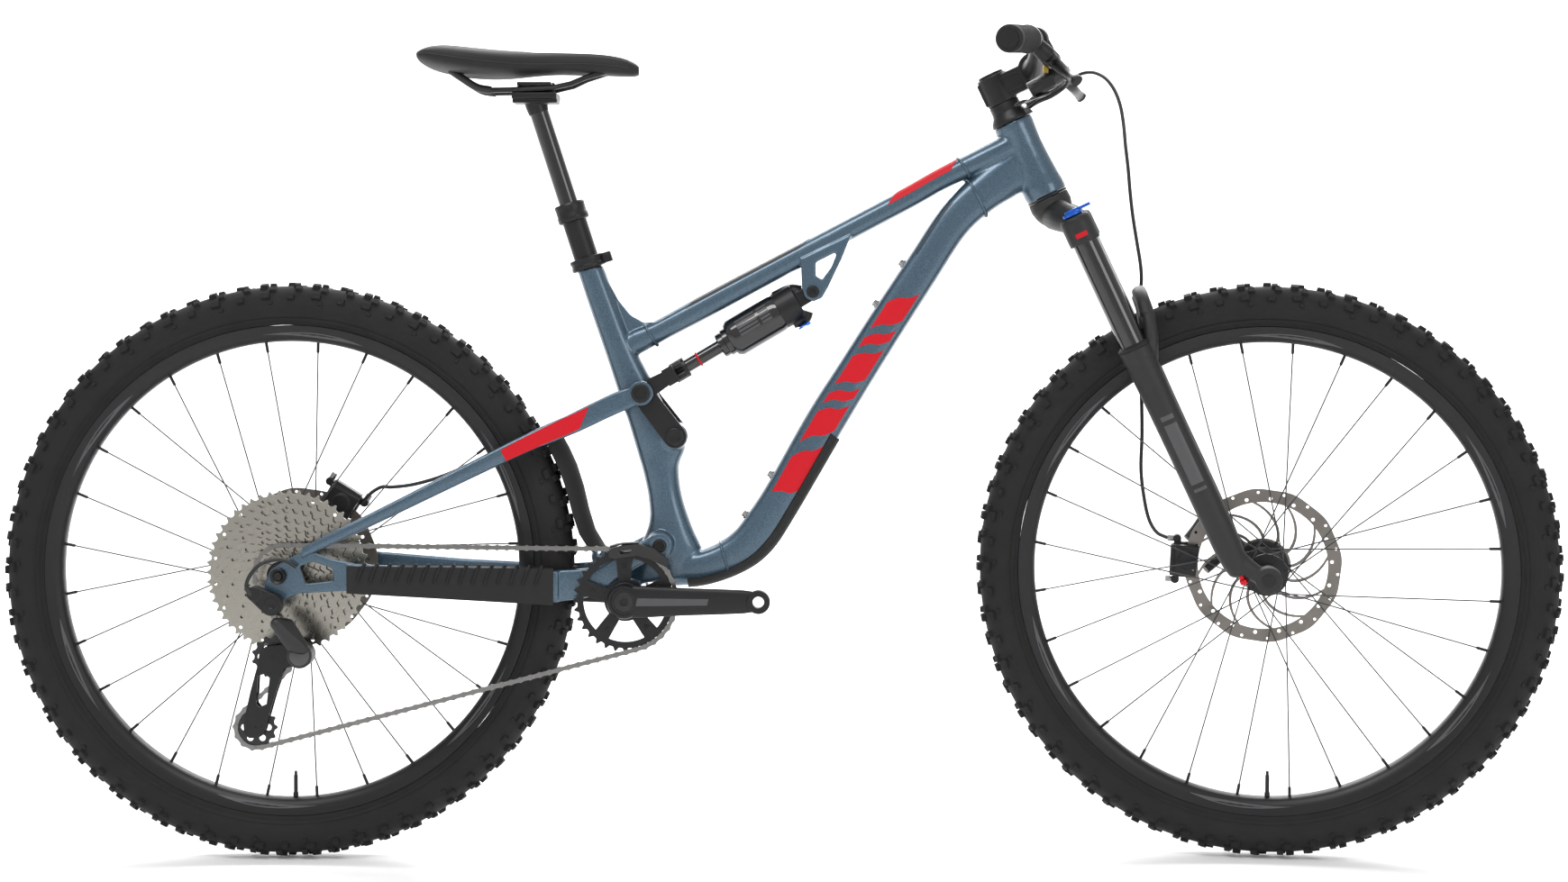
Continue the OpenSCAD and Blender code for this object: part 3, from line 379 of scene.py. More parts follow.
# ---------------------------------------------------------------- camera, light, floor
def studio():
    cam = bpy.data.cameras.new("camera")
    cam.lens = 53.15
    cam.sensor_width = 36
    cam.shift_y = -0.0888
    cam.clip_start = 0.1
    ob = bpy.data.objects.new("camera", cam)
    ob.location = (0.036, -3.0, 0.719)
    ob.rotation_euler = (math.radians(90), 0, math.radians(0.52))
    bpy.context.scene.collection.objects.link(ob)
    bpy.context.scene.camera = ob
    world = bpy.data.worlds.new("world")
    bpy.context.scene.world = world
    world.use_nodes = True
    world.node_tree.nodes["Background"].inputs["Color"].default_value = (1, 1, 1, 1)
    world.node_tree.nodes["Background"].inputs["Strength"].default_value = 0.68

    def area(name, place, target, size, power):
        light = bpy.data.lights.new(name, "AREA")
        light.shape = "RECTANGLE"
        light.size, light.size_y = size
        light.energy = power
        lo = bpy.data.objects.new(name, light)
        lo.location = place
        lo.rotation_euler = (Vector(target) - Vector(place)).to_track_quat("-Z", "Y").to_euler()
        bpy.context.scene.collection.objects.link(lo)

    area("key", (-0.9, -2.2, 3.2), (0, 0, 0.5), (2.6, 1.0), 62)
    area("fill", (2.4, -2.8, 1.4), (0, 0, 0.5), (1.4, 1.4), 20)
    area("sweep", (0, 2.4, 5.2), (0, 5.2, 1.6), (8.0, 1.6), 420)
    area("rim", (0.4, 2.6, 2.4), (0, 0, 0.6), (2.6, 1.0), 45)
    floor = bpy.data.meshes.new("floor")
    line = [(-14.0, -0.0015), (3.0, -0.0015)]
    line += [(3.0 + 2.4 * math.sin(math.radians(a)), 2.4 - 2.4 * math.cos(math.radians(a)) - 0.0015)
             for a in range(6, 91, 6)]
    line.append((5.4, 12.0))
    floor.from_pydata([(x, y, z) for y, z in line for x in (-16, 16)], [],
                      [(2 * k, 2 * k + 1, 2 * k + 3, 2 * k + 2) for k in range(len(line) - 1)])
    floor.shade_smooth()
    floor_ob = bpy.data.objects.new("floor", floor)
    floor.materials.append(material("floor", (0.93, 0.93, 0.93), 0.95, spec=0.1))
    bpy.context.scene.collection.objects.link(floor_ob)
    bpy.context.scene.view_settings.view_transform = "Standard"


studio()


# ---------------------------------------------------------------- front triangle
def section(u, low, w, power=2.6, n=36):
    """Rounded cross section of a tube between an upper and a lower point of its side view."""
    u, low = Vector((u[0], 0, u[1])), Vector((low[0], 0, low[1]))
    c, h = (u + low) / 2, (u - low) / 2
    out = []
    for k in range(n):
        a = 2 * math.pi * k / n
        s, t = math.sin(a), math.cos(a)
        out.append(c + h * math.copysign(abs(t) ** (2 / power), t)
                   + Vector((0, w, 0)) * math.copysign(abs(s) ** (2 / power), s))
    return out


def dense(stations, per=5):
    """Smooths (upper, lower, half width) stations along a tube."""
    pts = [[u[0], u[1], low[0], low[1], w] for u, low, w in stations]
    pts = [[2 * a - b for a, b in zip(pts[0], pts[1])]] + pts + [[2 * a - b for a, b in zip(pts[-1], pts[-2])]]
    out = []
    for i in range(1, len(pts) - 2):
        for k in range(per):
            t = k / per
            out.append([0.5 * (2 * b + (c - a) * t + (2 * a - 5 * b + 4 * c - d) * t * t
                               + (3 * b - a - 3 * c + d) * t ** 3)
                        for a, b, c, d in zip(pts[i - 1], pts[i], pts[i + 1], pts[i + 2])])
    out.append(pts[-2])
    return [((a, b), (c, d), w) for a, b, c, d, w in out]


DOWN = dense([
    ((-150, 396), (-150, 350), 21), ((-98, 399), (-92, 355), 23), ((-60, 419), (-42, 373), 24),
    ((-35, 450), (-8, 399), 24), ((-10, 489), (22, 444), 24), ((39, 576), (79, 542), 24.5),
    ((80, 640), (119, 609), 24.5), ((121, 704), (160, 675), 24.5), ((170, 778), (204, 744), 24),
    ((213, 842), (243, 804), 23), ((255, 884), (277, 836), 22), ((298, 918), (312, 858), 20)])
TOP = dense([
    ((-186, 684), (-176, 652), 16), ((-158, 695), (-140, 672), 16), ((-100, 727), (-86, 700), 17),
    ((0, 780), (12, 753), 17.5), ((80, 822), (93, 797), 18), ((161, 865), (176, 841), 18.5),
    ((207, 891), (224, 868), 20), ((276, 927), (292, 898), 22)])
SEAT_TUBE = dense([
    ((-225, 765), (-259, 759), 19.5), ((-208, 720), (-243, 711), 19.5), ((-186, 664), (-222, 650), 20),
    ((-163, 618), (-205, 598), 20), ((-146, 585), (-194, 566), 21), ((-124, 549), (-184, 533), 22),
    ((-119, 530), (-179, 516), 22), ((-127, 505), (-174, 499), 22), ((-123, 468), (-167, 464), 22),
    ((-110, 428), (-167, 430), 23), ((-97, 397), (-186, 388), 24), ((-98, 366), (-206, 352), 24)])


def rings(stations, power=2.6, n=36, grow=0.0):
    out = []
    for u, low, w in stations:
        du, dl = Vector(u), Vector(low)
        d = (du - dl).normalized() * grow
        out.append(section(du + d, dl - d, w + grow, power, n))
    return out


def build_frame():
    s = Shape()
    s.loft(rings(DOWN + [((318, 930), (334, 868), 18)], 3.0))
    s.loft(rings([((-208, 671), (-198, 641), 15)] + TOP + [((300, 940), (312, 910), 20)], 2.5))
    s.loft(rings(SEAT_TUBE, 2.4))
    # Fairing between the seat tube and the top tube
    s.prism([(-222, 752), (-206, 722), (-190, 702), (-172, 692), (-140, 696), (-150, 676), (-200, 660), (-232, 740)],
            -9, 9)
    # Head tube with flared ends
    head = Matrix.Translation((584.685, 0, 350.869)) @ Matrix.Rotation(math.radians(-25), 4, "Y")
    s.lathe([(19.2, 558.2), (27.5, 558.2), (27.8, 570), (26.2, 584), (24.6, 610), (24.2, 630), (25.4, 650),
             (26, 655), (25.8, 662.8), (19.2, 662.8)], head, 48)
    # Bottom bracket shell and pivot bosses
    s.lathe([(0.01, -36.5), (22.8, -36.5), (22.8, 36.5), (0.01, 36.5)], on_y(CRANK), 40)
    s.lathe([(0.01, -31), (16, -31), (18, -22), (18, 22), (16, 31), (0.01, 31)], on_y((-150, 407)), 32)
    s.lathe([(0.01, -23.6), (17, -23.6), (17, 23.6), (0.01, 23.6)], on_y((-132, 546)), 32)
    # Shock bracket
    for y in (-20, 15):
        s.plate([[(30, 774), (96, 806), (84, 776), (66, 738), (58, 724), (47, 719), (36, 724), (32, 736)],
                 [(50, 770), (78, 784), (70, 764), (58, 748), (50, 752)]], y, y + 5)
    s.piece("frame_skin", PAINT, "frame", None, 180, remesh=1.6, smooth=7,
            replaces=("down_tube", "top_tube", "seat_tube", "head_tube"))
    # Weld beads
    w = Shape()
    beads = [(DOWN, len(DOWN) - 7, 3.0), (TOP, len(TOP) - 4, 2.5), (TOP, 3, 2.5), (DOWN, 8, 3.0)]
    for st, i, power in beads:
        ring = rings([st[i]], power, 110, 0.6)[0]
        path = ring + [ring[0]]
        w.sweep([tuple(q) for q in path[:-1]],
                lambda t: 1.7 + 0.55 * math.sin(2 * math.pi * 55 * t), n=8, per=1, closed=True)
    w.piece("frame_welds", PAINT, "frame", None, 180)


def patch(s, stations, i0, i1, a0, a1, slant, power, side, grow=0.35, cols=8, cut=0.0):
    """Thin printed shape on a tube's side, from station i0 to i1 and from angle a0 to a1."""
    rows = max(2, int((i1 - i0) * 2) + 1)
    verts = []
    for layer in (grow, grow - 0.6):
        for c in range(cols):
            fc = c / (cols - 1)
            ang = math.radians(a0 + (a1 - a0) * fc)
            for r in range(rows):
                f = i0 + (i1 - i0) * r / (rows - 1) + slant * (fc - 0.5) + cut * fc * (1 - r / (rows - 1))
                f = min(max(f, 0), len(stations) - 1.001)
                i, t = int(f), f - int(f)
                (u0, l0, w0), (u1, l1, w1) = stations[i], stations[i + 1]
                u = Vector(u0).lerp(Vector(u1), t)
                low = Vector(l0).lerp(Vector(l1), t)
                w = w0 + (w1 - w0) * t
                cen, h = (u + low) / 2, (u - low) / 2
                sn, cs = math.sin(ang), math.cos(ang)
                px = cen + (h + h.normalized() * layer) * math.copysign(abs(cs) ** (2 / power), cs)
                py = (w + layer) * abs(sn) ** (2 / power) * side
                verts.append((px.x, py, px.y))
    n = cols * rows
    faces = []
    for c in range(cols - 1):
        for r in range(rows - 1):
            a = c * rows + r
            faces.append((a, a + 1, a + rows + 1, a + rows))
            faces.append((n + a + rows, n + a + rows + 1, n + a + 1, n + a))
    edge = [r for r in range(rows)] + [c * rows + rows - 1 for c in range(1, cols)]
    edge += [(cols - 1) * rows + r for r in range(rows - 2, -1, -1)] + [c * rows for c in range(cols - 2, 0, -1)]
    for i, a in enumerate(edge):
        b = edge[(i + 1) % len(edge)]
        faces.append((a, b, n + b, n + a))
    s.add(verts, faces)


def graphics():
    red = Shape()
    for side in (-1, 1):
        # Row of plain slanted bars in place of lettering
        for i0, i1, a0, a1 in [(20.5, 23.3, 62, 118), (24.3, 26.6, 62, 118), (27.4, 28.4, 62, 118),
                               (29.3, 32.2, 62, 118), (33.1, 34.1, 62, 118), (35.0, 37.4, 62, 118)]:
            patch(red, DOWN, i0, i1, a0, a1, 2.0, 3.0, side)
        patch(red, TOP, 24.0, 31.5, 20, 78, -1.2, 2.5, side)
    red.piece("frame_graphics_red", RED, "frame", None, 60)
    dark = Shape()
    for side in (-1, 1):
        patch(dark, TOP, 9.0, 17.0, 28, 60, -1.0, 2.5, side)
        patch(dark, DOWN, 40.5, 46.0, 50, 56, 0, 3.0, side)
    dark.piece("frame_graphics_dark", DARK_LINE, "frame", None, 60)


def frame_fittings():
    s = Shape()
    # Headset cups, seat clamp, axle caps
    head = Matrix.Translation((584.685, 0, 350.869)) @ Matrix.Rotation(math.radians(-25), 4, "Y")
    s.lathe([(14.4, 555), (26.8, 555), (27.2, 558), (14.4, 558)], head)
    s.lathe([(15.9, 0.3), (22, 0.3), (22.6, 2), (22.6, 5), (21.6, 6), (21.6, 9), (22.6, 10), (22.6, 14), (21.8, 15),
             (15.9, 15)], SEAT)
    s.box((18, -8, 1), (32, 8, 14), SEAT)
    s.rod((26, -10, 7.5), (26, 10, 7.5), 4, SEAT)
    for side in (-1, 1):
        s.bolt((-150, 407), side * 45.0, side, 9, 5, hole=0.6)
        s.bolt((-131, 546), side * 35.8, side, 11.5, 3.5, hole=0.55)
        s.bolt((46, 732), side * 23.9, side, 8, 5, hole=0.5)
    s.piece("pivot_hardware", BLACK, "frame", None, 35, bevel=0.4, replaces=("frame_hardware",))
    b = Shape()
    for (x, z), tilt in zip([(163, 768), (129, 716), (-7, 495), (-40, 443)], [56.3, 56.3, 60, 55]):
        m = Matrix.Translation((x, 0, z)) @ Matrix.Rotation(math.radians(-tilt), 4, "Y")
        b.lathe([(0.01, -2), (6, -2), (6, 1.2), (4.6, 1.6), (4.6, 4.6), (4, 5.2), (2.2, 5.2), (2.2, 2), (0.01, 2)], m,
                24)
    b.piece("bottle_bosses", STEEL, "frame", None, 35)
    s = Shape()
    # Bottom bracket cups
    for side in (-1, 1):
        rot = TO_Y if side > 0 else Matrix.Rotation(math.radians(90), 4, "X")
        m = Matrix.Translation((CRANK[0], 0, CRANK[1])) @ rot
        s.lathe([(15.2, 36.6), (23, 36.6), (23, 40), (20.6, 40.5), (20.6, 45), (15.2, 45)], m)
    s.piece("bottom_bracket_cups", BLACK, "frame", None, 35, replaces=("bottom_bracket",))
    # Down-tube guard, moulded round the tube's underside
    g = Shape()
    guard = []
    for u, low, w in DOWN[3:26]:
        du, dl = Vector(u), Vector(low)
        d = (du - dl).normalized()
        outer, inner = [], []
        for k in range(13):
            a = math.radians(112 + 136 * k / 12)
            sn, cs = math.sin(a), math.cos(a)
            c, h = (du + dl) / 2, (du - dl) / 2
            for layer, dest in ((2.6, outer), (0.2, inner)):
                q = c + (h + d * layer) * math.copysign(abs(cs) ** (2 / 3), cs)
                dest.append((q.x, (w + layer) * math.copysign(abs(sn) ** (2 / 3), sn), q.y))
        guard.append(outer + inner[::-1])
    g.loft(guard)
    g.piece("guard_skin", RUBBER, "frame", None, 40, replaces=("down_tube_guard",))
    # Upper chain guide
    g = Shape()
    top = [(-213, 403), (-196, 409), (-176, 411), (-156, 405), (-138, 390), (-140, 381), (-160, 391), (-178, 396),
           (-206, 392), (-214, 394)]
    g.plate([top, [(-200, 402), (-184, 404), (-186, 400), (-198, 398)]], -59.2, -57.6, bevel=0.4)
    g.plate([top], -47.4, -45.8, bevel=0.4)
    g.sweep([(-212, -52.5, 407), (-196, -52.5, 411), (-176, -52.5, 412)], 6.4, n=12, flat=0.25)
    g.sweep([(-176, -50, 408), (-164, -40, 405), (-152, -26, 398)], 6, n=12, flat=0.5)
    g.piece("chain_guide_skin", PLASTIC, "frame", None, 35, replaces=("chain_guide",))


build_frame()
graphics()
frame_fittings()


# ---------------------------------------------------------------- wheels
def tyre(name, m, body, node):
    s = Shape()
    prof = []
    for k in range(33):
        a = math.radians(-138 + 276 * k / 32)
        prof.append((341 + 26.4 * math.cos(a), 27 * math.sin(a)))
    inner = [(341 + 23.5 * math.cos(math.radians(138 - 276 * k / 16)),
              24 * math.sin(math.radians(138 - 276 * k / 16))) for k in range(17)]
    prof = [(317.2, -15.8)] + prof + [(317.2, 15.8)]
    s.lathe(prof + [(317.2, 14.2)] + inner + [(317.2, -14.2)], m @ TO_Y, 160, ring=True)
    # Bead lines beside the rim
    for side in (-1, 1):
        s.lathe([(322.5, side * 20.5), (324.5, side * 22.5), (326.5, side * 23.4), (325, side * 21), (323, side * 19)],
                m @ TO_Y, 160, ring=True)
    steps = 68
    for i in range(steps):
        base = 360 * i / steps
        even = i % 2 == 0
        # (tread angle across, half length round, half width across, height, shift round)
        knobs = [(-14 if even else 14, 5.2, 5.4, 4.3, 0.0), (14 if even else -14, 4.2, 4.6, 4.2, 1.4)]
        for sd in (-1, 1):
            knobs.append((sd * (37 if even else 34), 4.4, 4.2, 4.3, 2.0))
            knobs.append((sd * (60 if even else 64), 6.0 if even else 4.6, 4.0, 4.2, 0.6))
            if even:
                knobs.append((sd * 78, 3.2, 2.6, 2.0, 1.6))
        for across, lx, wy, h, shift in knobs:
            a = math.radians(across)
            k = (m @ Matrix.Rotation(math.radians(base + shift), 4, "Y") @ Matrix.Translation((341, 0, 0))
                 @ Matrix.Rotation(a, 4, "Z") @ Matrix.Translation((25.6, 0, 0))
                 @ Matrix.Rotation(math.radians(90), 4, "Y"))
            s.box((-lx, -wy, 0), (lx, wy, h + 0.9), k, taper=0.7)
    s.piece(name, TYRE, body, None, 30, replaces=(node,))


def rim(name, m, body, node):
    s = Shape()
    prof = [(296, -6), (295.6, 0), (296, 6), (299, 10.5), (306, 14.2), (314, 16.2), (316.6, 16.8), (316.8, 15.6),
            (315.5, 14.2), (309, 13), (307.5, 9), (304.5, 5), (304, 0), (304.5, -5), (307.5, -9), (309, -13),
            (315.5, -14.2), (316.8, -15.6), (316.6, -16.8), (314, -16.2), (306, -14.2), (299, -10.5)]
    s.lathe(prof, m @ TO_Y, 160, ring=True)
    s.piece(name, BLACK, body, None, 50, replaces=(node,))
    # Plain swooshes on the rim's sides
    g = Shape()
    for i in range(6):
        for side in (-1, 1):
            rows = []
            for k in range(13):
                f = k / 12
                a = math.radians(60 * i + 12 + 30 * f)
                wid = 3.6 * math.sin(math.pi * min(1, f * 1.2 + 0.02)) * (1 - 0.5 * f)
                rc = 304.5 + 2.0 * f
                quad = []
                for r, layer in ((rc - wid, 0.25), (rc + wid, 0.25), (rc + wid, -0.4), (rc - wid, -0.4)):
                    y = 10.5 + 3.7 * (r - 299) / 7 if r < 306 else 14.2 + 2 * (r - 306) / 8
                    quad.append((r * math.cos(a), side * (y + layer), r * math.sin(a)))
                rows.append(quad)
            g.loft(rows, m)
    g.piece(name + "_print", GREY, body, None, 60)
    # Valve
    v = Shape()
    vm = m @ Matrix.Translation((5, 0, 0)) @ Matrix.Rotation(math.radians(180), 4, "Y")
    v.lathe([(0.01, 262), (1.6, 262), (1.9, 263), (1.9, 267), (2.6, 267.5), (2.6, 290), (3.4, 290), (3.4, 294),
             (2.8, 296.5), (0.01, 296.5)], vm, 20)
    v.piece(name + "_valve", BLACK, body, None, 40)


def nipples(name, m, body, fl, fr):
    s = Shape()
    step = 2 * math.pi / 28
    for i in range(28):
        side = 1 if i % 2 == 0 else -1
        lean = 1 if (i // 2) % 2 == 0 else -1
        ra = i * step + step / 2
        ha = ra + lean * 6 * step
        fy = (fl if side > 0 else -fr) + lean * 1.7
        p = Vector((24 * math.cos(ha), fy, 24 * math.sin(ha)))
        q = Vector((298.5 * math.cos(ra), side * 3, 298.5 * math.sin(ra)))
        d = (q - p).normalized()
        s.rod(q - d * 15, q, 2.0, m, 10, 2.0)
        s.rod(q - d * 16.2, q - d * 15, 1.3, m, 10, 2.0)
        # Bent head in the flange
        s.ball(tuple(p - d * 0.4), 2.0, m, 6)
    s.piece(name, BLACK, body, None, 50)


def wavy(r, amp, count, n=180, phase=0.0):
    return [((r + amp * math.sin(count * 2 * math.pi * k / n + phase)) * math.cos(2 * math.pi * k / n),
             (r + amp * math.sin(count * 2 * math.pi * k / n + phase)) * math.sin(2 * math.pi * k / n))
            for k in range(n)]


def rotor(name, m, y, body, node):
    s = Shape()
    outlines = [wavy(100.6, 0.8, 12)]
    arms = 12
    for i in range(arms):
        # Long windows between swept arms
        a0, a1 = 360 / arms * i + 3.0, 360 / arms * (i + 1) - 3.0
        inner_r, outer_r, sweep = 36, 83.5, 38
        inner = [(inner_r * math.cos(math.radians(a0 + (a1 - a0) * k / 6)),
                  inner_r * math.sin(math.radians(a0 + (a1 - a0) * k / 6))) for k in range(7)]
        up, down = [], []
        for k in range(1, 8):
            f = k / 8
            r = inner_r + (outer_r - inner_r) * f
            wide = (a1 - a0) / 2 + 1.2 * f
            mid = (a0 + a1) / 2 + sweep * f ** 1.3
            up.append((r * math.cos(math.radians(mid + wide)), r * math.sin(math.radians(mid + wide))))
            down.append((r * math.cos(math.radians(mid - wide)), r * math.sin(math.radians(mid - wide))))
        wide = (a1 - a0) / 2 + 1.2
        mid = (a0 + a1) / 2 + sweep
        outer = [(outer_r * math.cos(math.radians(mid + wide - 2 * wide * k / 6)),
                  outer_r * math.sin(math.radians(mid + wide - 2 * wide * k / 6))) for k in range(7)]
        outlines.append(inner + up + outer + down[::-1])
    for i in range(36):
        a = math.radians(i * 10 + 4)
        r = 96.3 if i % 2 else 88.5
        outlines.append(circle(r * math.cos(a), r * math.sin(a), 1.9 if i % 2 else 2.4, 14))
    outlines.append(circle(0, 0, 23, 40))
    s.plate(outlines, y - 0.9, y + 0.9, m)
    s.piece(name, ROTOR, body, None, 30, replaces=(node,))
    c = Shape()
    c.lathe([(17.15, y - 2.6), (28, y - 2.6), (33, y - 1.0), (33, y + 1.0), (27, y + 1.4), (21, y + 3.8),
             (17.15, y + 4)],
            m @ TO_Y, 48, ring=True)
    for i in range(6):
        a = math.radians(i * 60)
        c.rod((21 * math.cos(a), y + 0.5, 21 * math.sin(a)), (36 * math.cos(a), y + 0.5, 36 * math.sin(a)), 2.6, m, 10)
    c.piece(name + "_carrier", BLACK, body, None, 35)


def hub(name, prof, m, body, node, bore, collar):
    s = Shape()
    s.lathe(prof + [(bore, prof[-1][1]), (bore, prof[0][1])], m @ TO_Y, 56, ring=True)
    for y, r in collar:
        s.lathe([(r - 0.8, y), (r, y + 0.5), (r, y + 2), (r - 0.8, y + 2.5)], m @ TO_Y, 56, ring=True)
    s.piece(name, BLACK, body, None, 35, replaces=(node,))


def wheels():
    for pre, m, body in (("front", FRONT, "front_wheel"), ("rear", REAR, "rear_wheel")):
        tyre(pre + "_tyre_skin", m, body, pre + "_tyre")
        rim(pre + "_rim_skin", m, body, pre + "_rim")
        paint_node(pre + "_spokes", SPOKE)
    nipples("front_nipples", FRONT, "front_wheel", 24, 30)
    nipples("rear_nipples", REAR, "rear_wheel", 28, 20)
    rotor("front_rotor_skin", FRONT, 40, "front_wheel", "front_rotor")
    rotor("rear_rotor_skin", REAR, 57, "rear_wheel", "rear_rotor")
    hub("front_hub_skin", [(12, -52), (13, -44), (14, -38), (14.5, -34), (26.5, -32.6), (27, -32), (27, -28.2),
                           (26.4, -27.5), (18, -25), (14, -16), (13, -6), (13.5, 6), (16, 14), (19, 20), (26.4, 21.4),
                           (27, 22), (27, 26), (26.4, 26.7), (18, 29), (17, 33), (17, 50), (15, 52)],
        FRONT, "front_wheel", "front_hub", 7.6, [(-8, 14.6), (2, 14.8)])
    hub("rear_hub_skin", [(15, -25), (17, -24), (26.5, -22.6), (27, -22), (27, -18.2), (26.4, -17.6), (18, -14),
                          (15, -4), (15, 8), (17, 18), (20, 24), (26.4, 25.4), (27, 26), (27, 30), (26.4, 30.7),
                          (18, 34), (17, 40), (17, 66), (15, 68)],
        REAR, "rear_wheel", "rear_hub", 6.1, [(-2, 16), (10, 16.4)])


wheels()


# ---------------------------------------------------------------- fork
def fork():
    s = Shape()
    # Crown: a swept bridge between the two sockets, with the steerer's race on top
    s.lathe([(14.3, 560), (14.3, 554.8), (26.8, 554.8), (27.4, 544), (25, 534), (21, 526), (14, 522), (0.01, 522)],
            STEER, 48)
    path = [(21, -66, 510), (16, -52, 517), (6, -30, 526), (0, 0, 531), (6, 30, 526), (16, 52, 517), (21, 66, 510)]
    s.sweep(path, lambda t: 15.0 + 4.5 * math.sin(math.pi * t), STEER, 20, 6, flat=1.05)
    for y in (-66, 66):
        m = STEER @ Matrix.Translation((21, y, 0))
        s.lathe([(17.1, 483.5), (20, 483.5), (20.4, 485), (20.4, 512), (19.4, 517), (17, 519.5), (0.01, 519.5)], m, 40)
    s.lathe([(13.9, 548), (14.2, 548), (14.2, 725), (13.9, 725)], STEER, 40)
    s.piece("fork_crown_skin", MATTE, "steering", None, 60, remesh=1.2, smooth=4, replaces=("fork_crown",))
    k = Shape()
    km = STEER @ Matrix.Translation((21, -66, 0))
    k.lathe([(8, 520.3), (12, 520.3), (12.9, 521.5), (12.9, 525), (9, 526), (9, 528.5), (7, 529.2), (0.01, 529.2)], km,
            40)
    k.box((4, -3, 524.6), (26, 3, 528.6), km)
    k.piece("compression_knob_skin", BLUE, "compression", None, 35, bevel=0.5, replaces=("compression_knob",))
    paint_node("stanchions", GLOSS)
    d = Shape()
    # Plain coloured label on the socket
    rows = []
    for i in range(9):
        ang = math.radians(-112 + 5.5 * i)
        rows.append([(21 + r * math.cos(ang), -66 + r * math.sin(ang), z)
                     for r, z in ((20.6, 492), (20.6, 498), (20.0, 498), (20.0, 492))])
    d.loft(rows, STEER)
    d.piece("crown_label", RED, "steering", None, 60)

    low = Shape()
    for y in (-66, 66):
        m = STEER @ Matrix.Translation((21, y, 0))
        low.lathe([(17.2, 300), (17.2, 336.5), (21.2, 336.5), (21.2, 322), (20.2, 318), (19.8, 300), (19.0, 250),
                   (18.6, 200), (18.6, 120), (18, 60), (16.5, 38), (13.5, 24), (9, 19.5), (0.01, 19.5), (0.01, 300)],
                  m, 40)
        # Dropout: leg runs forward to the axle
        low.sweep([(20, y, 66), (26, y, 40), (36, y, 18), (50, y, 0)], lambda t: 13.5 - 2.5 * t, STEER, 16, 6)
        low.rod((50, y - 10.8, 0), (50, y + 10.8, 0), 17, STEER, 32)
        # Arch roots
        low.sweep([(24, y, 300), (34, y * 0.99, 318), (44, y * 0.96, 338), (52, y * 0.86, 362), (55, y * 0.70, 382)],
                  lambda t: 10.5 - 1.5 * t, STEER, 16, 6)
    low.sweep([(52, -58, 368), (55, -48, 385), (55, -30, 394), (55, 0, 396), (55, 30, 394), (55, 48, 385),
               (52, 58, 368)], 9.2, STEER, 18, 6, up=(1, 0, 0), flat=0.72)
    low.sweep([(40, -60, 352), (46, -46, 372), (48, -28, 386), (48, 0, 389), (48, 28, 386), (46, 46, 372),
               (40, 60, 352)], 5.5, STEER, 14, 6)
    low.piece("fork_lowers_skin", MATTE, "lowers", None, 60, remesh=1.3, smooth=5, replaces=("fork_lowers",))
    w = Shape()
    for y in (-66, 66):
        m = STEER @ Matrix.Translation((21, y, 0))
        w.lathe([(17.15, 336), (21.6, 336), (22, 337), (22, 339), (20, 340.5), (18.2, 342), (17.15, 342)], m, 40)
    w.piece("fork_wipers", RUBBER, "lowers", None, 40)
    a = Shape()
    am = STEER @ Matrix.Translation((50, 0, 0))
    a.lathe([(0.01, -78), (8.4, -78), (8.4, -72), (7.45, -71), (7.45, 76), (10, 77), (10, 80), (5, 80.4), (5, 78),
             (0.01, 78)], am @ TO_Y, 32)
    a.piece("front_axle_skin", BLACK, "lowers", None, 35, replaces=("front_thru_axle",))
    r = Shape()
    rm = STEER @ Matrix.Translation((21, -66, 0))
    r.lathe([(0.01, 7), (4.2, 7), (5.4, 8), (5.4, 13), (3.6, 14), (3.6, 19.6), (0.01, 19.6)], rm, 24)
    r.piece("rebound_knob_skin", REDANO, "rebound", None, 35, replaces=("rebound_knob",))
    # Plain bars along the leg where a label would be
    g = Shape()
    for t0, t1, half in ((150, 232, 26), (238, 244, 26), (140, 144, 26)):
        rows = []
        for i in range(9):
            ang = math.radians(-90 - half + 2 * half * i / 8)
            rr = 18.75 if t1 < 300 else 20
            rows.append([(21 + (rr + 0.25) * math.cos(ang), -66 + (rr + 0.25) * math.sin(ang), t0),
                         (21 + (rr + 0.25) * math.cos(ang), -66 + (rr + 0.25) * math.sin(ang), t1),
                         (21 + (rr - 1) * math.cos(ang), -66 + (rr - 1) * math.sin(ang), t1),
                         (21 + (rr - 1) * math.cos(ang), -66 + (rr - 1) * math.sin(ang), t0)])
        g.loft(rows, STEER)
    g.piece("fork_leg_print", GREY, "lowers", None, 60)


def caliper(name, node, m, angle, y, body):
    """Two rounded halves round the rotor, on a post-mount foot."""
    c = m @ Matrix.Rotation(math.radians(-angle), 4, "Y")
    s = Shape()
    s.box((84, y - 12.5, -21), (115, y - 2.4, 21), c, taper=2)
    s.box((84, y + 2.4, -23), (116, y + 14.5, 23), c, taper=2)
    s.box((104.5, y - 8, -20), (120, y + 8, 20), c)
    s.rod((98, y + 11, -2), (98, y + 16.5, -2), 11.5, c, 28)
    s.rod((98, y - 10, -2), (98, y - 13.6, -2), 11.5, c, 28)
    for z in (-27, 27):
        s.rod((112, y + 2.5, z), (112, y + 15, z), 5.5, c, 20)
    s.piece(name, BLACK, body, None, 60, remesh=0.9, smooth=3, replaces=(node,))
    b = Shape()
    for z in (-27, 27):
        b.rod((108, y + 8, z), (124.6, y + 8, z), 4.2, c, 16)
    b.rod((90, y - 11, 10), (90, y + 17, 10), 1.6, c, 12)
    b.piece(name + "_bolts", STEEL, body, None, 35)


# ---------------------------------------------------------------- cockpit
def on_bar(y):
    f = (y - 180) / 200
    return Vector((74 - 28 * f, y, 735 + 3 * f))


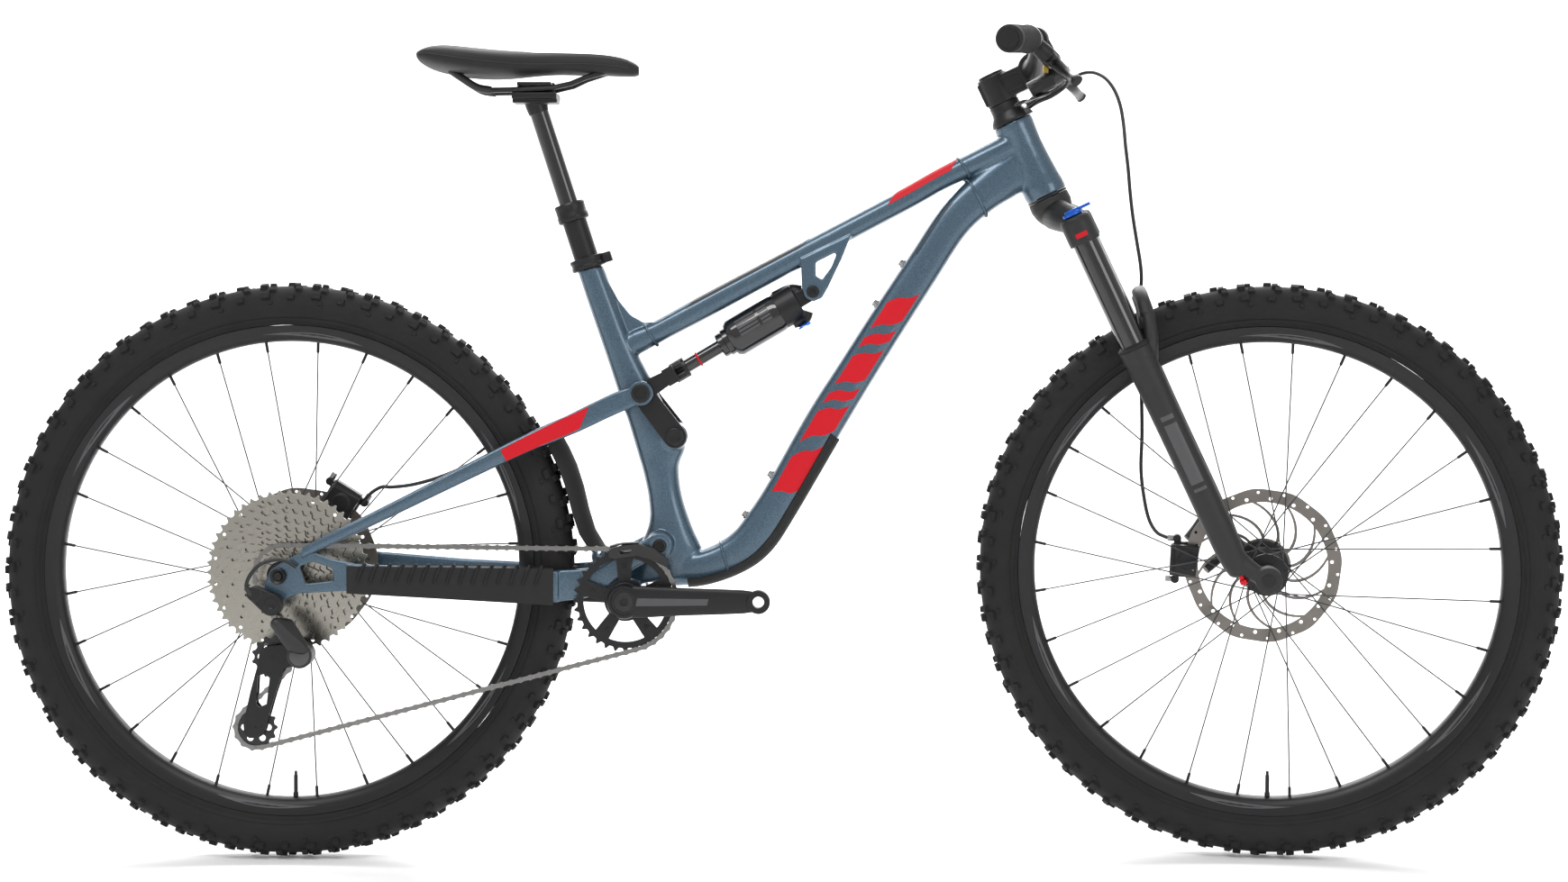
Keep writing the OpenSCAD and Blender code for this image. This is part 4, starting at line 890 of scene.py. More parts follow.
def lever_frame(side):
    """Frame of a brake lever: X from the bar to the lever, as in the CAD."""
    p = on_bar(232)
    tilt = math.degrees(math.atan2(0.36, 0.93))
    m = STEER
    if side < 0:
        m = m @ MIRROR
    return m @ Matrix.Translation(p) @ Matrix.Rotation(math.radians(90 - tilt), 4, "Y")


def cockpit():
    s = Shape()
    for side in (-1, 1):
        pts = [(55, 0, 712), (55, 30, 712), (57, 48, 713.5), (66, 88, 723), (72.5, 130, 732), (74, 170, 735),
               (72.5, 190, 735.2), (60, 280, 736.5), (46, 379.5, 738)]
        pts = [(x, side * y, z) for x, y, z in pts]
        s.sweep(pts, lambda t: 15.8 - 4.7 * min(1, max(0, (t - 0.14) / 0.2)) ** 0.8, STEER, 28, 6)
    s.piece("handlebar_skin", BLACK, "steering", None, 60, replaces=("handlebar",))
    g = Shape()
    for side in (-1, 1):
        prof = []
        for i in range(0, 121):
            y = 251 + i * 1.06
            f = (i % 4) / 4
            r = 16.4 if f < 0.5 else 15.3
            if y < 262 or y > 370:
                r = 16.4
            if y > 376:
                r = 16.2 - (y - 376) * 0.35
            prof.append((r, y))
        a, b = on_bar(251), on_bar(382)
        d = (b - a).normalized()
        d = Vector((d.x, side * d.y, d.z))
        start = Vector((a.x, side * a.y, a.z))
        q = d.to_track_quat("Z", "Y").to_matrix().to_4x4()
        m = STEER @ Matrix.Translation(start) @ q
        g.lathe([(11.2, 0)] + [(r, y - 251) for r, y in prof] + [(9, 127.6), (0.01, 128)], m, 44)
    g.piece("grips_skin", RUBBER, "steering", None, 30, replaces=("grips",))
    e = Shape()
    for side in (-1, 1):
        a = on_bar(250)
        b = on_bar(258)
        e.rod((a.x, side * a.y, a.z), (b.x, side * b.y, b.z), 17.2, STEER, 36)
    e.piece("grip_clamps", BLACK, "steering", None, 40, bevel=0.6)
    # Stem with its face plate
    s = Shape()
    s.lathe([(14.4, 690.3), (19.6, 690.3), (20, 691), (20, 727), (19.4, 728), (14.4, 728)], STEER, 40)
    s.box((-4, -16.5, 693), (45, 16.5, 725), STEER)
    s.box((-22, -9, 694), (-6, 9, 724), STEER)
    s.rod((55, -25.5, 712), (55, 25.5, 712), 21.6, STEER, 40)
    s.piece("stem_body", BLACK, "steering", None, 60, remesh=1.0, smooth=3, replaces=("stem",))
    t = Shape()
    t.lathe([(0.01, 728.2), (16.6, 728.2), (17, 729), (16.4, 731.4), (5, 732), (4.4, 730), (0.01, 730)], STEER, 40)
    t.box((-22.6, -8.2, 706.6), (-22, 8.2, 707.4), STEER)
    for side in (-1, 1):
        t.bolt((-15, 701), side * 9.2, side, 3.6, 3, STEER)
        t.bolt((-15, 717), side * 9.2, side, 3.6, 3, STEER)
        # Raised rim of the stem's recessed side panel
        y = side * 16.9
        t.sweep([(4, y, 700), (28, y, 700), (36, y, 705), (36, y, 714), (28, y, 718.5), (4, y, 718.5), (-1, y, 709)],
                0.8, STEER, 8, 5, closed=False)
    for y in (-18, 18):
        for dz in (-17, 17):
            t.rod((66, y, 712 + dz), (77, y, 712 + dz), 3.6, STEER, 16)
    t.lathe([(14.5, 663.5), (26.6, 663.5), (26.4, 666), (25.2, 670), (21, 676), (20, 679.6),
             (20, 689.9), (14.5, 689.9)],
            STEER, 48)
    t.box((8, -17, 663.6), (30, 17, 671.5), STEER, taper=3)
    t.piece("stem_trim", BLACK, "steering", None, 35, bevel=0.3)
    for side, nm in ((-1, "right"), (1, "left")):
        m = lever_frame(side)
        b = Shape()
        b.rod((0, -7, 0), (-0.9, 7, 0), 15.2, m, 32)
        b.sweep([(10, 2, 0), (20, 0, 0), (30, -6, 0), (36, -16, 0), (34, -30, 0), (30, -42, 0)],
                lambda t: 9.5 + 1.5 * math.sin(math.pi * t), m, 20, 6, flat=0.85, up=(0, 0, 1))
        b.sweep([(30, 2, 0), (38, -8, 0)], 8.5, m, 16, 3, flat=1.0)
        b.rod((30, -40, 0), (29, -52, 0), 5.5, m, 18)
        b.piece("brake_body_" + nm, BLACK, "steering", None, 60, remesh=0.8, smooth=3)
        c = Shape()
        c.rod((38, -8, -8.6), (38, -8, 8.6), 3.6, m, 20)
        c.rod((15, 0, 9.2), (15, 0, -9.2), 2.6, m, 16)
        c.rod((-15, -3, 0), (-15, 3, 0), 4.0, m, 16)
        c.piece("brake_screws_" + nm, STEEL, "steering", None, 35)
        v = Shape()
        v.sweep([(38, -8, 0), (50, 2, 0), (61, 15, 0), (67, 32, 0), (70, 56, 0), (73, 80, 0), (75, 93, 0),
                 (79, 98, 0)], lambda t: 5.6 - 1.0 * math.sin(math.pi * t), m, 16, 6, flat=1.4, up=(1, 0, 0))
        v.rod((38, -8, -4), (38, -8, 4), 6.2, m, 24)
        v.piece("brake_blade_" + nm, BLACK, "lever_" + nm, None, 60, remesh=0.7, smooth=2,
                replaces=("brake_lever_" + nm,))
    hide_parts("brake_lever_bodies")
    # Shifter and dropper remote
    c = Shape()
    for side in (-1, 1):
        a, b = on_bar(181), on_bar(194)
        c.rod((a.x, side * a.y, a.z), (b.x, side * b.y, b.z), 14.8, STEER, 32)
        c.sweep([(80, side * 188, 728), (80, side * 190, 712), (72, side * 194, 696), (66, side * 198, 686)], 5.5,
                STEER, 14, 6, flat=1.3)
    c.sweep([(40, -203, 681), (54, -202, 682), (68, -198, 683), (78, -192, 684)], lambda t: 10.5, STEER, 20, 6,
            flat=1.2, up=(0, 0, 1))
    c.box((44, -214, 674), (72, -186, 688), STEER)
    c.rod((58, -200, 671.8), (58, -200, 690), 13, STEER, 28)
    c.sweep([(48, 199, 690), (60, 199, 690), (74, 197, 690)], 7, STEER, 16, 4, flat=1.2)
    c.rod((54, 200, 681.8), (54, 200, 696), 9, STEER, 24)
    c.piece("controls_skin", PLASTIC, "steering", None, 60, remesh=0.8, smooth=2, replaces=("bar_controls",))
    c = Shape()
    c.rod((66, -218, 692), (70, -217, 700), 3.4, STEER, 16)
    c.piece("gold_screw", BRASS, "steering", None, 35)
    for node, body, side, reach, t in (("shift_paddle", "shift_thumb", -1, 84, 668),
                                       ("dropper_paddle", "dropper_thumb",
                                                                                      1, 62, 678)):
        p = Shape()
        p.sweep([(54, side * 200, t + 1.8), (42, side * (200 + reach * 0.25), t + 1.8),
                 (32, side * (200 + reach * 0.6), t + 1.6), (25, side * (200 + reach), t + 2.4)],
                lambda u: 7.0 - 2.6 * math.sin(math.pi * min(1, u * 1.15)) + (1.0 if u > 0.85 else 0), STEER, 20, 6,
                flat=0.26, up=(1, 0, 0))
        p.rod((54, side * 200, t + 0.1), (54, side * 200, t + 3.4), 7.6, STEER, 28)
        p.piece(node + "_skin", PLASTIC, body, None, 60, remesh=0.7, smooth=2, replaces=(node,))


# ---------------------------------------------------------------- hoses
LEFT_REMOTE = [(66, 188, 690), (74, 160, 694), (82, 120, 694), (84, 80, 688), (76, 44, 680), (60, 24, 676),
               (42, 12, 676), (24, 8, 672)]
RIGHT_SHIFT = [(66, -178, 684), (80, -150, 686), (92, -110, 686), (92, -70, 680), (80, -36, 674), (60, -18, 671),
               (40, -10, 672), (24, -4, 670)]
REAR_BRAKE = [(92, -208, 687), (92, -194, 685), (90, -160, 684), (88, -120, 683), (84, -80, 681), (84, -46, 682),
              (64, -26, 678), (44, -18, 680), (26, -14, 676)]
FRONT_HOSE = [(94, 208, 688), (102, 202, 689), (112, 194, 688), (124, 180, 682), (134, 160, 668), (138, 142, 648),
              (136, 125, 625), (129, 108, 600), (120, 98, 575), (110, 91, 545), (99, 85, 515), (89, 81, 485),
              (79, 77, 450), (71, 76, 422), (62, 79, 400), (48, 87, 378), (33, 92, 345), (16, 93, 305),
              (-2, 92, 260), (-22, 89, 215), (-42, 84, 175), (-54, 76, 140), (-60, 66, 112), (-58, 57, 94),
              (-50, 52, 84), (-40, 49, 76)]
REAR_HOSE = [(-300, 38, 556), (-330, 38, 538), (-390, 42, 512), (-440, 48, 490), (-480, 54, 478), (-510, 57, 474),
             (-524, 58, 474), (-538, 59, 466), (-551, 60, 452)]
SHIFT_LOOP = [(-606, -84, 384), (-618, -88, 392), (-634, -92, 394), (-650, -96, 388), (-662, -98, 374),
              (-666, -98, 360), (-660, -96, 350)]


def hoses():
    s = Shape()
    for route in (LEFT_REMOTE, RIGHT_SHIFT, REAR_BRAKE):
        s.sweep(route, 2.45, STEER, 14, 6)
    s.piece("bar_hoses_skin", PLASTIC, "steering", None, 60, replaces=("bar_hoses",))
    s = Shape()
    s.sweep(FRONT_HOSE, 2.45, STEER, 14, 6)
    s.rod(FRONT_HOSE[0], FRONT_HOSE[1], 3.6, STEER, 16)
    s.piece("front_hose_skin", PLASTIC, "steering", None, 60, bind=False, replaces=("front_brake_hose",))
    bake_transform(bpy.data.objects["front_hose_skin"])
    s = Shape()
    s.sweep(SHIFT_LOOP, 2.45, ID, 14, 6)
    s.rod(SHIFT_LOOP[-1], SHIFT_LOOP[-2], 3.6, ID, 14)
    s.piece("shift_loop_skin", PLASTIC, "swingarm", None, 60, replaces=("shift_cable",))
    s = Shape()
    s.sweep(REAR_HOSE, 2.45, ID, 14, 6)
    s.piece("rear_hose_skin", PLASTIC, "seatstay", None, 60)


# ---------------------------------------------------------------- seatpost and saddle
def post():
    s = Shape()
    s.lathe([(0.01, 55), (15.7, 55), (15.7, 64), (19, 65), (20.4, 67), (20.4, 72), (19.6, 74), (19.6, 84), (20.2, 86),
             (19.2, 88.6), (14.5, 89), (14.5, 82), (0.01, 82)], SEAT, 40)
    s.lathe([(15.8, -3), (15.8, 66), (12.7, 66), (12.7, -3)], SEAT, 40, ring=True)
    s.piece("dropper_collar", BLACK, "frame", None, 35, replaces=("dropper_outer",))
    s = Shape()
    s.lathe([(0.01, 60), (12.45, 60), (12.45, 214), (13.5, 219), (0.01, 222)], SEAT, 40)
    s.piece("dropper_stanchion", GLOSS, "dropper", None, 35)
    h = Shape()
    head = SEAT @ Matrix.Translation((0, 0, 226)) @ Matrix.Rotation(math.radians(18), 4, "Y")
    h.sweep([(4, 0, -14), (1, 0, -4), (0, 0, 4)], lambda t: 13 + 3 * t, head, 24, 6)
    h.box((-29, -17, -1), (29, 17, 6), head)
    h.box((-29, -25.5, 4), (29, 25.5, 11.6), head)
    h.box((-22, -25.5, 20.8), (22, 25.5, 25.2), head)
    for x in (-21, 21):
        h.rod((x, 0, 2), (x, 0, 26), 3.6, head, 16)
    h.piece("seatpost_head", BLACK, "dropper", None, 60, remesh=0.9, smooth=3, replaces=("seatpost_inner",))
    paint_node("saddle_rails", BLACK)


def saddle():
    """Crowned shell with a padded top, a dropped skirt and a pressed channel."""
    # x, top z, edge z, underside z, half width
    st = [(-461, 1037.0, 1035.0, 1029.5, 47), (-458, 1041.0, 1036.0, 1026, 56), (-448, 1046.0, 1036.0, 1021, 64.5),
          (-430, 1048.5, 1033.0, 1016, 70.5), (-405, 1047.0, 1029.5, 1011.5, 71.5), (-375, 1044.2, 1026.0, 1009, 66),
          (-345, 1042.2, 1024.0, 1009.5, 54), (-315, 1041.2, 1024.0, 1012, 40), (-285, 1041.0, 1025.0, 1013.5, 30.5),
          (-250, 1040.4, 1025.5, 1012.5, 25), (-222, 1038.6, 1024.5, 1012, 22.0), (-200, 1034.6, 1022.5, 1011, 19.5),
          (-186, 1029.2, 1020.0, 1011, 15.5), (-179, 1024.0, 1018.0, 1013, 9.5)]
    cols = 40
    rings_ = []
    dense_st = []
    for i in range(len(st) - 1):
        for k in range(4):
            p = [st[max(i - 1, 0)], st[i], st[i + 1], st[min(i + 2, len(st) - 1)]]
            t = k / 4
            dense_st.append([0.5 * (2 * b + (c - a) * t + (2 * a - 5 * b + 4 * c - d) * t * t
                                    + (3 * b - a - 3 * c + d) * t ** 3) for a, b, c, d in zip(*p)])
    dense_st.append(st[-1])
    for x, top, edge, under, w in dense_st:
        ring = []
        for k in range(cols):
            a = 2 * math.pi * k / cols
            cy, sz = math.cos(a), math.sin(a)
            y = w * math.copysign(abs(cy) ** 0.72, cy)
            if sz >= 0:
                z = edge + (top - edge) * abs(sz) ** 0.8
                # Shallow channel down the middle
                z -= 2.4 * math.exp(-(y / 9) ** 2) * min(1, max(0, (w - 20) / 20)) * (sz > 0.5)
                z += 1.2 * math.exp(-((abs(y) - w * 0.45) / 12) ** 2) * (sz > 0.5) * (w > 40)
            else:
                z = edge - (edge - under) * abs(sz) ** 0.6
                y *= 1 - 0.10 * abs(sz)
            ring.append((x, y, z))
        rings_.append(ring)
    s = Shape()
    s.loft(rings_)
    o = s.piece("saddle_shell", COVER, "dropper", None, 60, subsurf=1, replaces=("saddle",))
    # Stitched seams along the top and the skirt's trim
    t = Shape()
    for side in (-1, 1):
        line, edge_line = [], []
        for x, top, edge, under, w in dense_st[4:-4:3]:
            y = w * 0.62
            f = abs(math.sin(math.acos(min(1, 0.62 ** (1 / 0.72)))))
            line.append((x, side * y, edge + (top - edge) * f ** 0.8 + 0.1))
            edge_line.append((x, side * (w + 0.1), edge - 0.4))
        t.sweep(line, 0.55, n=6, per=3)
        t.sweep(edge_line, 0.7, n=6, per=3)
    t.piece("saddle_seams", PLASTIC, "dropper", None, 60)
    r = Shape()
    for side in (-1, 1):
        r.sweep([(-420, side * 30, 1017), (-404, side * 28, 1006), (-386, side * 24.5, 995),
                 (-368, side * 22.5, 991.6)],
                5.0, n=12, per=4)
    r.piece("saddle_rail_sockets", PLASTIC, "dropper", None, 50)


# ---------------------------------------------------------------- rear end
def rear_end():
    s = Shape()
    for side in (-1, 1):
        m = MIRROR if side > 0 else ID
        # Yoke round the pivot, then the spread arm, then the dropout
        s.lathe([(7.6, -44), (15.6, -44), (16.4, -42), (16.4, -36), (15.6, -34), (7.6, -34)],
                m @ on_y((-150, 407)), 32, ring=True)
        arm = [((-163, 418), (-152, 394), 4.6), ((-205, 396), (-190, 372), 4.8), ((-232, 380), (-226, 345), 5),
               ((-284, 375.5), (-284, 334), 5)]
        r = []
        for u, low, w in dense(arm, 5):
            r.append([q + Vector((0, -39, 0)) for q in section(u, low, w, 4.0, 32)])
        s.loft(r, m)
        back = [(4, 375.5, 334, 5.2), (-60, 377, 337.5, 6.0), (-130, 379.5, 341.5, 6.0), (-200, 384, 348, 5.0),
                (-262, 388, 354.5, 4.2)]
        a = STAY_SPREAD
        r = []
        for x, top, bot, w in back:
            ring = []
            for q in section((0, top), (0, bot), w, 3.4, 32):
                lx, ly = x, q.y
                ring.append((-284 + lx * math.cos(a) - ly * math.sin(a), -42.5 + lx * math.sin(a) + ly * math.cos(a),
                             q.z))
            r.append(ring)
        s.loft(r, m)
        drop = [(-650, 340), (-648, 364), (-640, 380), (-622, 392), (-597, 404), (-588, 403), (-562, 393),
                (-536, 388), (-536, 353), (-566, 352), (-604, 350), (-622, 342), (-636, 326), (-646, 330)]
        y0, y1 = -78, -71
        s.plate([drop, circle(-630, 372, 8.0, 28), [(-604, 384), (-586, 390), (-562, 382), (-560, 366), (-596, 362)]],
                y0, y1, m, bevel=0.8)
    s.rod((-216, -38, 395), (-216, 38, 395), 9.5, ID, 28)
    s.sweep([(-228, -38, 385), (-232, -16, 392), (-232, 16, 392), (-228, 38, 385)], 8, n=20)
    s.piece("chainstays_skin", PAINT, "swingarm", None, 60, remesh=1.3, smooth=4, replaces=("chainstays",))
    # Ribbed guard
    g = Shape()
    a = STAY_SPREAD

    def at(x, y, z):
        return (-284 + x * math.cos(a) - y * math.sin(a), -42.5 + x * math.sin(a) + y * math.cos(a), z)
    rows = []
    for k in range(14):
        x = -2 - k * 20
        f = k / 13
        top, bot = 378.4 + 6.4 * f, 331.5 + 19.0 * f
        half = 6.6 - 0.6 * f
        rows.append([at(x, -half, bot), at(x, -half, top), at(x, half - 2, top + 1.0), at(x, half - 2, top - 2),
                     at(x, -half + 1.6, top - 3), at(x, -half + 1.6, bot)])
    g.loft(rows)
    for k in range(15):
        x = -16 - k * 16
        f = k / 14
        top = 378.6 + 6.2 * f
        g.sweep([at(x, 3.5, top + 0.6), at(x, -3, top + 2.2), at(x - 1, -6.6, top + 0.6), at(x - 5, -7.6, top - 8),
                 at(x - 9, -7.8, top - 20)], lambda t: 2.5 - 0.9 * t, n=10, per=4)
    g.piece("stay_guard_skin", RUBBER, "swingarm", None, 40, replaces=("chainstay_guard",))
    # Axle
    x = Shape()
    x.lathe([(0.01, -84), (5, -84), (5, -82), (9.6, -84.4), (10, -83.6), (10, -79), (6, -78.4),
             (5.95, 82), (0.01, 82)],
            on_y((-630, 372)), 32)
    x.piece("rear_axle_skin", BLACK, "swingarm", None, 35, replaces=("rear_thru_axle",))
    # Mud flap: a curved sheet
    m_ = Shape()
    line = [(-280, 544), (-272, 530), (-262, 508), (-253, 480), (-246, 450), (-238, 424), (-226, 404), (-217, 395)]
    rows = []
    for i, (px, pz) in enumerate(line):
        f = i / (len(line) - 1)
        half = 25 - 3 * f + (2 if 0 < i < 7 else 0)
        ring = []
        for layer in (0, 1):
            ks = range(9) if layer == 0 else range(8, -1, -1)
            for k in ks:
                y = half * (k / 4 - 1)
                back = 21 * (y / 28) ** 2
                ring.append((px - back + (2.6 if layer else 0), y, pz - 0.25 * back + (0.6 if layer else 0)))
        rows.append(ring)
    m_.loft(rows)
    m_.piece("mud_flap_skin", RUBBER, "swingarm", None, 50, replaces=("mudguard",))
    # Seatstays
    s = Shape()
    for side in (-1, 1):
        m = MIRROR if side > 0 else ID
        s.lathe([(10.2, -46), (15, -46), (16, -45), (16, -40), (15, -39), (10.2, -39)], m @ on_y(STAY_PIVOT),
                40, ring=True)
        plate = [((-166, 616), (-178, 587), 3.3), ((-205, 604), (-214, 571), 3.5), ((-240, 588), (-250, 554), 3.7),
                 ((-272, 572), (-282, 541), 4.2), ((-300, 560), (-309, 531), 5.0)]
        r = [[q + Vector((0, -42.6, 0)) for q in section(u, low, w, 4.0, 32)] for u, low, w in dense(plate, 5)]
        s.loft(r, m)
        tail = [(-296, 562, -304, 533, 5.2, -42.8), (-340, 541, -348, 513, 6.2, -47),
                (-410, 505, -417, 480, 6.4, -55.5),
                (-480, 469, -486, 447, 6.2, -65), (-545, 436, -548, 418, 6.0, -73.5), (-578, 420, -580, 404, 5.0, -76),
                (-600, 408, -601, 394, 4.0, -77)]
        r = []
        for ux, uz, lx, lz, w, yy in tail:
            r.append([q + Vector((0, yy, 0)) for q in section((ux, uz), (lx, lz), w, 2.8, 32)])
        s.loft(r, m)
    s.sweep([(-284, -42, 556), (-288, -20, 557), (-288, 20, 557), (-284, 42, 556)], 7, n=20)
    s.piece("seatstays_skin", PAINT, "seatstay", None, 60, remesh=1.2, smooth=3, replaces=("seatstays",))
    g = Shape()
    for side in (-1, 1):
        quad = [(-240, 585), (-284, 565), (-330, 542), (-352, 530), (-345, 516), (-300, 536), (-262, 552),
                (-252, 557)]
        ys = [-46.5, -46.9, -51.5, -54.8, -54.2, -48.9, -46.9, -46.7]
        n = len(quad)
        v = [(x_, (abs(y_) + 0.15) * side, z_) for (x_, z_), y_ in zip(quad, ys)]
        v2 = [(x_, y_ - side * 0.8, z_) for x_, y_, z_ in v]
        g.add(v + v2, [list(range(n)), list(range(2 * n - 1, n - 1, -1))]
              + [(i, i + n, (i + 1) % n + n, (i + 1) % n) for i in range(n)])
    g.piece("seatstay_graphic", RED, "seatstay", None, 40)
    caliper("rear_caliper_skin", "rear_caliper", REAR, 58, 57, "seatstay")


# ---------------------------------------------------------------- rocker and shock
def linkage():
    s = Shape()
    for side in (-1, 1):
        m = MIRROR if side > 0 else ID
        out = []
        for c, r, a0, a1 in (((-131, 546), 15.0, -52.5 - 90, -52.5 + 90), ((-174, 602), 14.0, 127.5 - 90, 127.5 + 90)):
            out += arc(c[0], c[1], r, a0, a1, 14)
        s.plate([out, circle(-131, 546, 6.1, 24)], -31.4, -24.6, m, bevel=0.9)
        s.lathe([(0.01, -46.4), (6, -46.4), (6, -31), (0.01, -31)], m @ on_y(STAY_PIVOT), 28)
    s.piece("rocker_skin", BLACK, "rocker_link", None, 40, replaces=("rocker",))
    b = Shape()
    for side in (-1, 1):
        b.bolt((-174, 602), side * 49.4, side, 12, 2.8, hole=0.6)
    b.piece("rocker_bolts", BLACK, "rocker_link", None, 35)
    L = 255.5
    x = Matrix.Rotation(math.radians(90), 4, "Y")
    c = Shape()
    c.lathe([(9.1, 116), (15.5, 116), (16.6, 117.5), (16.6, 124), (18.6, 125), (18.6, 131), (22, 132), (25.4, 137),
             (25.8, 140), (25.8, 200), (24.8, 205), (20, 207), (0.01, 207), (0.01, 116)], SHOCK @ x, 48)
    c.piece("shock_can_skin", GLOSS, "shock_body", None, 35, replaces=("shock_can",))
    h = Shape()
    h.rod((204, 0, 0), (233, 0, 0), 24.5, SHOCK, 40)
    h.sweep([(208, 0, 16), (230, 0, 14), (240, 0, 6)], 11, SHOCK, 20, 5)
    h.sweep([(214, 0, -20), (228, 0, -23), (236, 0, -17)], 9.5, SHOCK, 20, 5)
    h.box((228, -11.5, -10), (L - 2, 11.5, 10), SHOCK)
    h.rod((L, -11.8, 0), (L, 11.8, 0), 10.8, SHOCK, 32)
    h.piece("shock_head", BLACK, "shock_body", None, 60, remesh=0.9, smooth=3)
    p = Shape()
    for k in range(5):
        a0 = -96 + k * 11
        for xa, xb in ((148, 176), (180, 194)):
            rows = []
            for i in range(4):
                ang = math.radians(a0 + i * 2.2)
                rows.append([(xx, rr * math.sin(ang), rr * math.cos(ang))
                             for xx, rr in ((xa, 26.0), (xb, 26.0), (xb, 25.2), (xa, 25.2))])
            p.loft(rows, SHOCK)
    p.piece("shock_print", GREY, "shock_body", None, 60)
    v = Shape()
    v.lathe([(0.01, -35.6), (6.6, -35.6), (7, -35), (7, -33.5), (3, -33.5), (3, -30), (0.01, -30)],
            SHOCK @ Matrix.Translation((222, -3, 2)), 28)
    v.sweep([(222, -3, -31.2), (226, -14, -31.6), (230, -27, -32.6)], lambda t: 4.8 - 1.2 * t, SHOCK, 14, 5, flat=0.5,
            up=(1, 0, 0))
    v.piece("shock_lever_skin", BLUE, "shock_knob", None, 50, replaces=("shock_lever",))
    f = Shape()
    f.lathe([(0.01, 58), (8.95, 58), (8.95, 146), (0.01, 146)], SHOCK @ x, 36)
    f.piece("shock_shaft_rod", GLOSS, "shock_rod", None, 35)
    o = Shape()
    o.lathe([(9.0, 82.6), (9.9, 83), (10.2, 84), (9.9, 85), (9.0, 85.4)], SHOCK @ x, 36, ring=True)
    o.piece("shock_ring", RED, "shock_rod", None, 60)
    y = Shape()
    y.box((36, -37.4, -11.5), (51, 37.4, 11.5), SHOCK)
    y.rod((46, 0, 0), (66, 0, 0), 13.5, SHOCK, 36)
    for side in (-1, 1):
        y.plate([arc(0, 0, 12.8, 90, 270, 16) + [(40, -9), (40, 9)], circle(0, 0, 10.1, 28)],
                side * 35 - 2.5, side * 35 + 2.5, SHOCK, bevel=0.6)
        y.rod((43, side * 17, 7), (62, side * 17, 7), 4.6, SHOCK, 18)
        y.rod((43, side * 17, -7), (62, side * 17, -7), 4.6, SHOCK, 18)
    y.piece("shock_yoke", BLACK, "shock_rod", None, 35, bevel=0.8, replaces=("shock_shaft",))


# ---------------------------------------------------------------- drivetrain
def toothed(c, teeth, depth=3.0, tip=2.4, phase=0.0):
    """Outline of a sprocket with its pitch circle at the chain's pins."""
    r = pitch_r(teeth)
    out = []
    for k in range(teeth):
        for f, rr in ((-0.30, r - depth), (-0.16, r - 0.4), (-0.07, r + tip - 0.9), (0.0, r + tip - 0.9 + 0.25),
                      (0.07, r + tip - 0.9), (0.16, r - 0.4), (0.30, r - depth), (0.42, r - depth - 0.5)):
            a = 2 * math.pi * (k + f) / teeth + phase
            out.append((c[0] + rr * math.cos(a), c[1] + rr * math.sin(a)))
    return out


def window(c, r0, r1, a0, a1, n=8):
    outer = arc(c[0], c[1], r1, a0, a1, n)
    grow = (a1 - a0) * 0.12
    return outer + arc(c[0], c[1], r0, a1 - grow, a0 + grow, n)


def cassette():
    teeth = [10, 12, 14, 16, 18, 21, 24, 28, 33, 39, 45, 51]
    c = (-630, 372)
    s = Shape()
    for i, t in enumerate(teeth):
        y = CHAIN_Y + (i - 4) * 3.9
        r = pitch_r(t)
        outlines = [toothed(c, t, phase=0.13 * i)]
        if i >= 6:
            inner = pitch_r(teeth[i - 1]) - 6
            outlines.append(circle(c[0], c[1], max(19.0, inner - 6), 48))
            count = 8 + 2 * (i - 6)
            for k in range(count):
                a = 2 * math.pi * (k + 0.5 * (i % 2)) / count
                rr = r - 8.6
                outlines.append(circle(c[0] + rr * math.cos(a), c[1] + rr * math.sin(a), 2.1, 12))
        else:
            outlines.append(circle(c[0], c[1], 17.0, 40))
        s.plate(outlines, y - 0.8, y + 0.8, bevel=0.15)
    for k in range(6):
        a = math.radians(60 * k + 12)
        for i in range(6, 11):
            y = CHAIN_Y + (i - 4) * 3.9
            r = pitch_r(teeth[i]) - 5
            p = (c[0] + r * math.cos(a), y, c[1] + r * math.sin(a))
            s.rod(p, (p[0], y + 3.9, p[2]), 1.8, n=10)
    s.piece("cassette_cogs", COGS, "cassette_body", None, 30, replaces=("cassette",))
    b = Shape()
    b.lathe([(6.3, -68.9), (12.5, -68.9), (13, -68.4), (15.8, -68.4), (16.4, -67.8), (17.2, -66.8), (17.2, -26),
             (6.3, -26)], on_y(c), 48, ring=True)
    for k in range(5):
        a0, y = 72 * k, -26.6
        arm = window(c, 17, 80, a0, a0 + 17, 5)
        b.plate([arm], y - 0.9, y + 0.9)
    b.piece("cassette_carrier", BLACK, "cassette_body", None, 30)


def crank_arm(s, forward, side):
    tip = (CRANK[0] + forward * 170, CRANK[1])
    st = [(6, 20.0, 5.5), (24, 20.2, 5.5), (46, 19.0, 5.5), (80, 17.4, 5.5), (120, 16.2, 5.5), (150, 15.0, 5.5),
          (162, 13.4, 5.3)]
    rows = []
    for x, h, w in st:
        cx = CRANK[0] + forward * x
        ring = section((cx, CRANK[1] + h), (cx, CRANK[1] - h), w, 3.2, 32)
        rows.append([q + Vector((0, side * 70, 0)) for q in ring])
    s.loft(rows)
    y0, y1 = sorted((side * 64.7, side * 77.6))
    s.plate([circle(tip[0], tip[1], 14.8, 40), circle(tip[0], tip[1], 7.2, 28)], y0, y1, bevel=1.0)


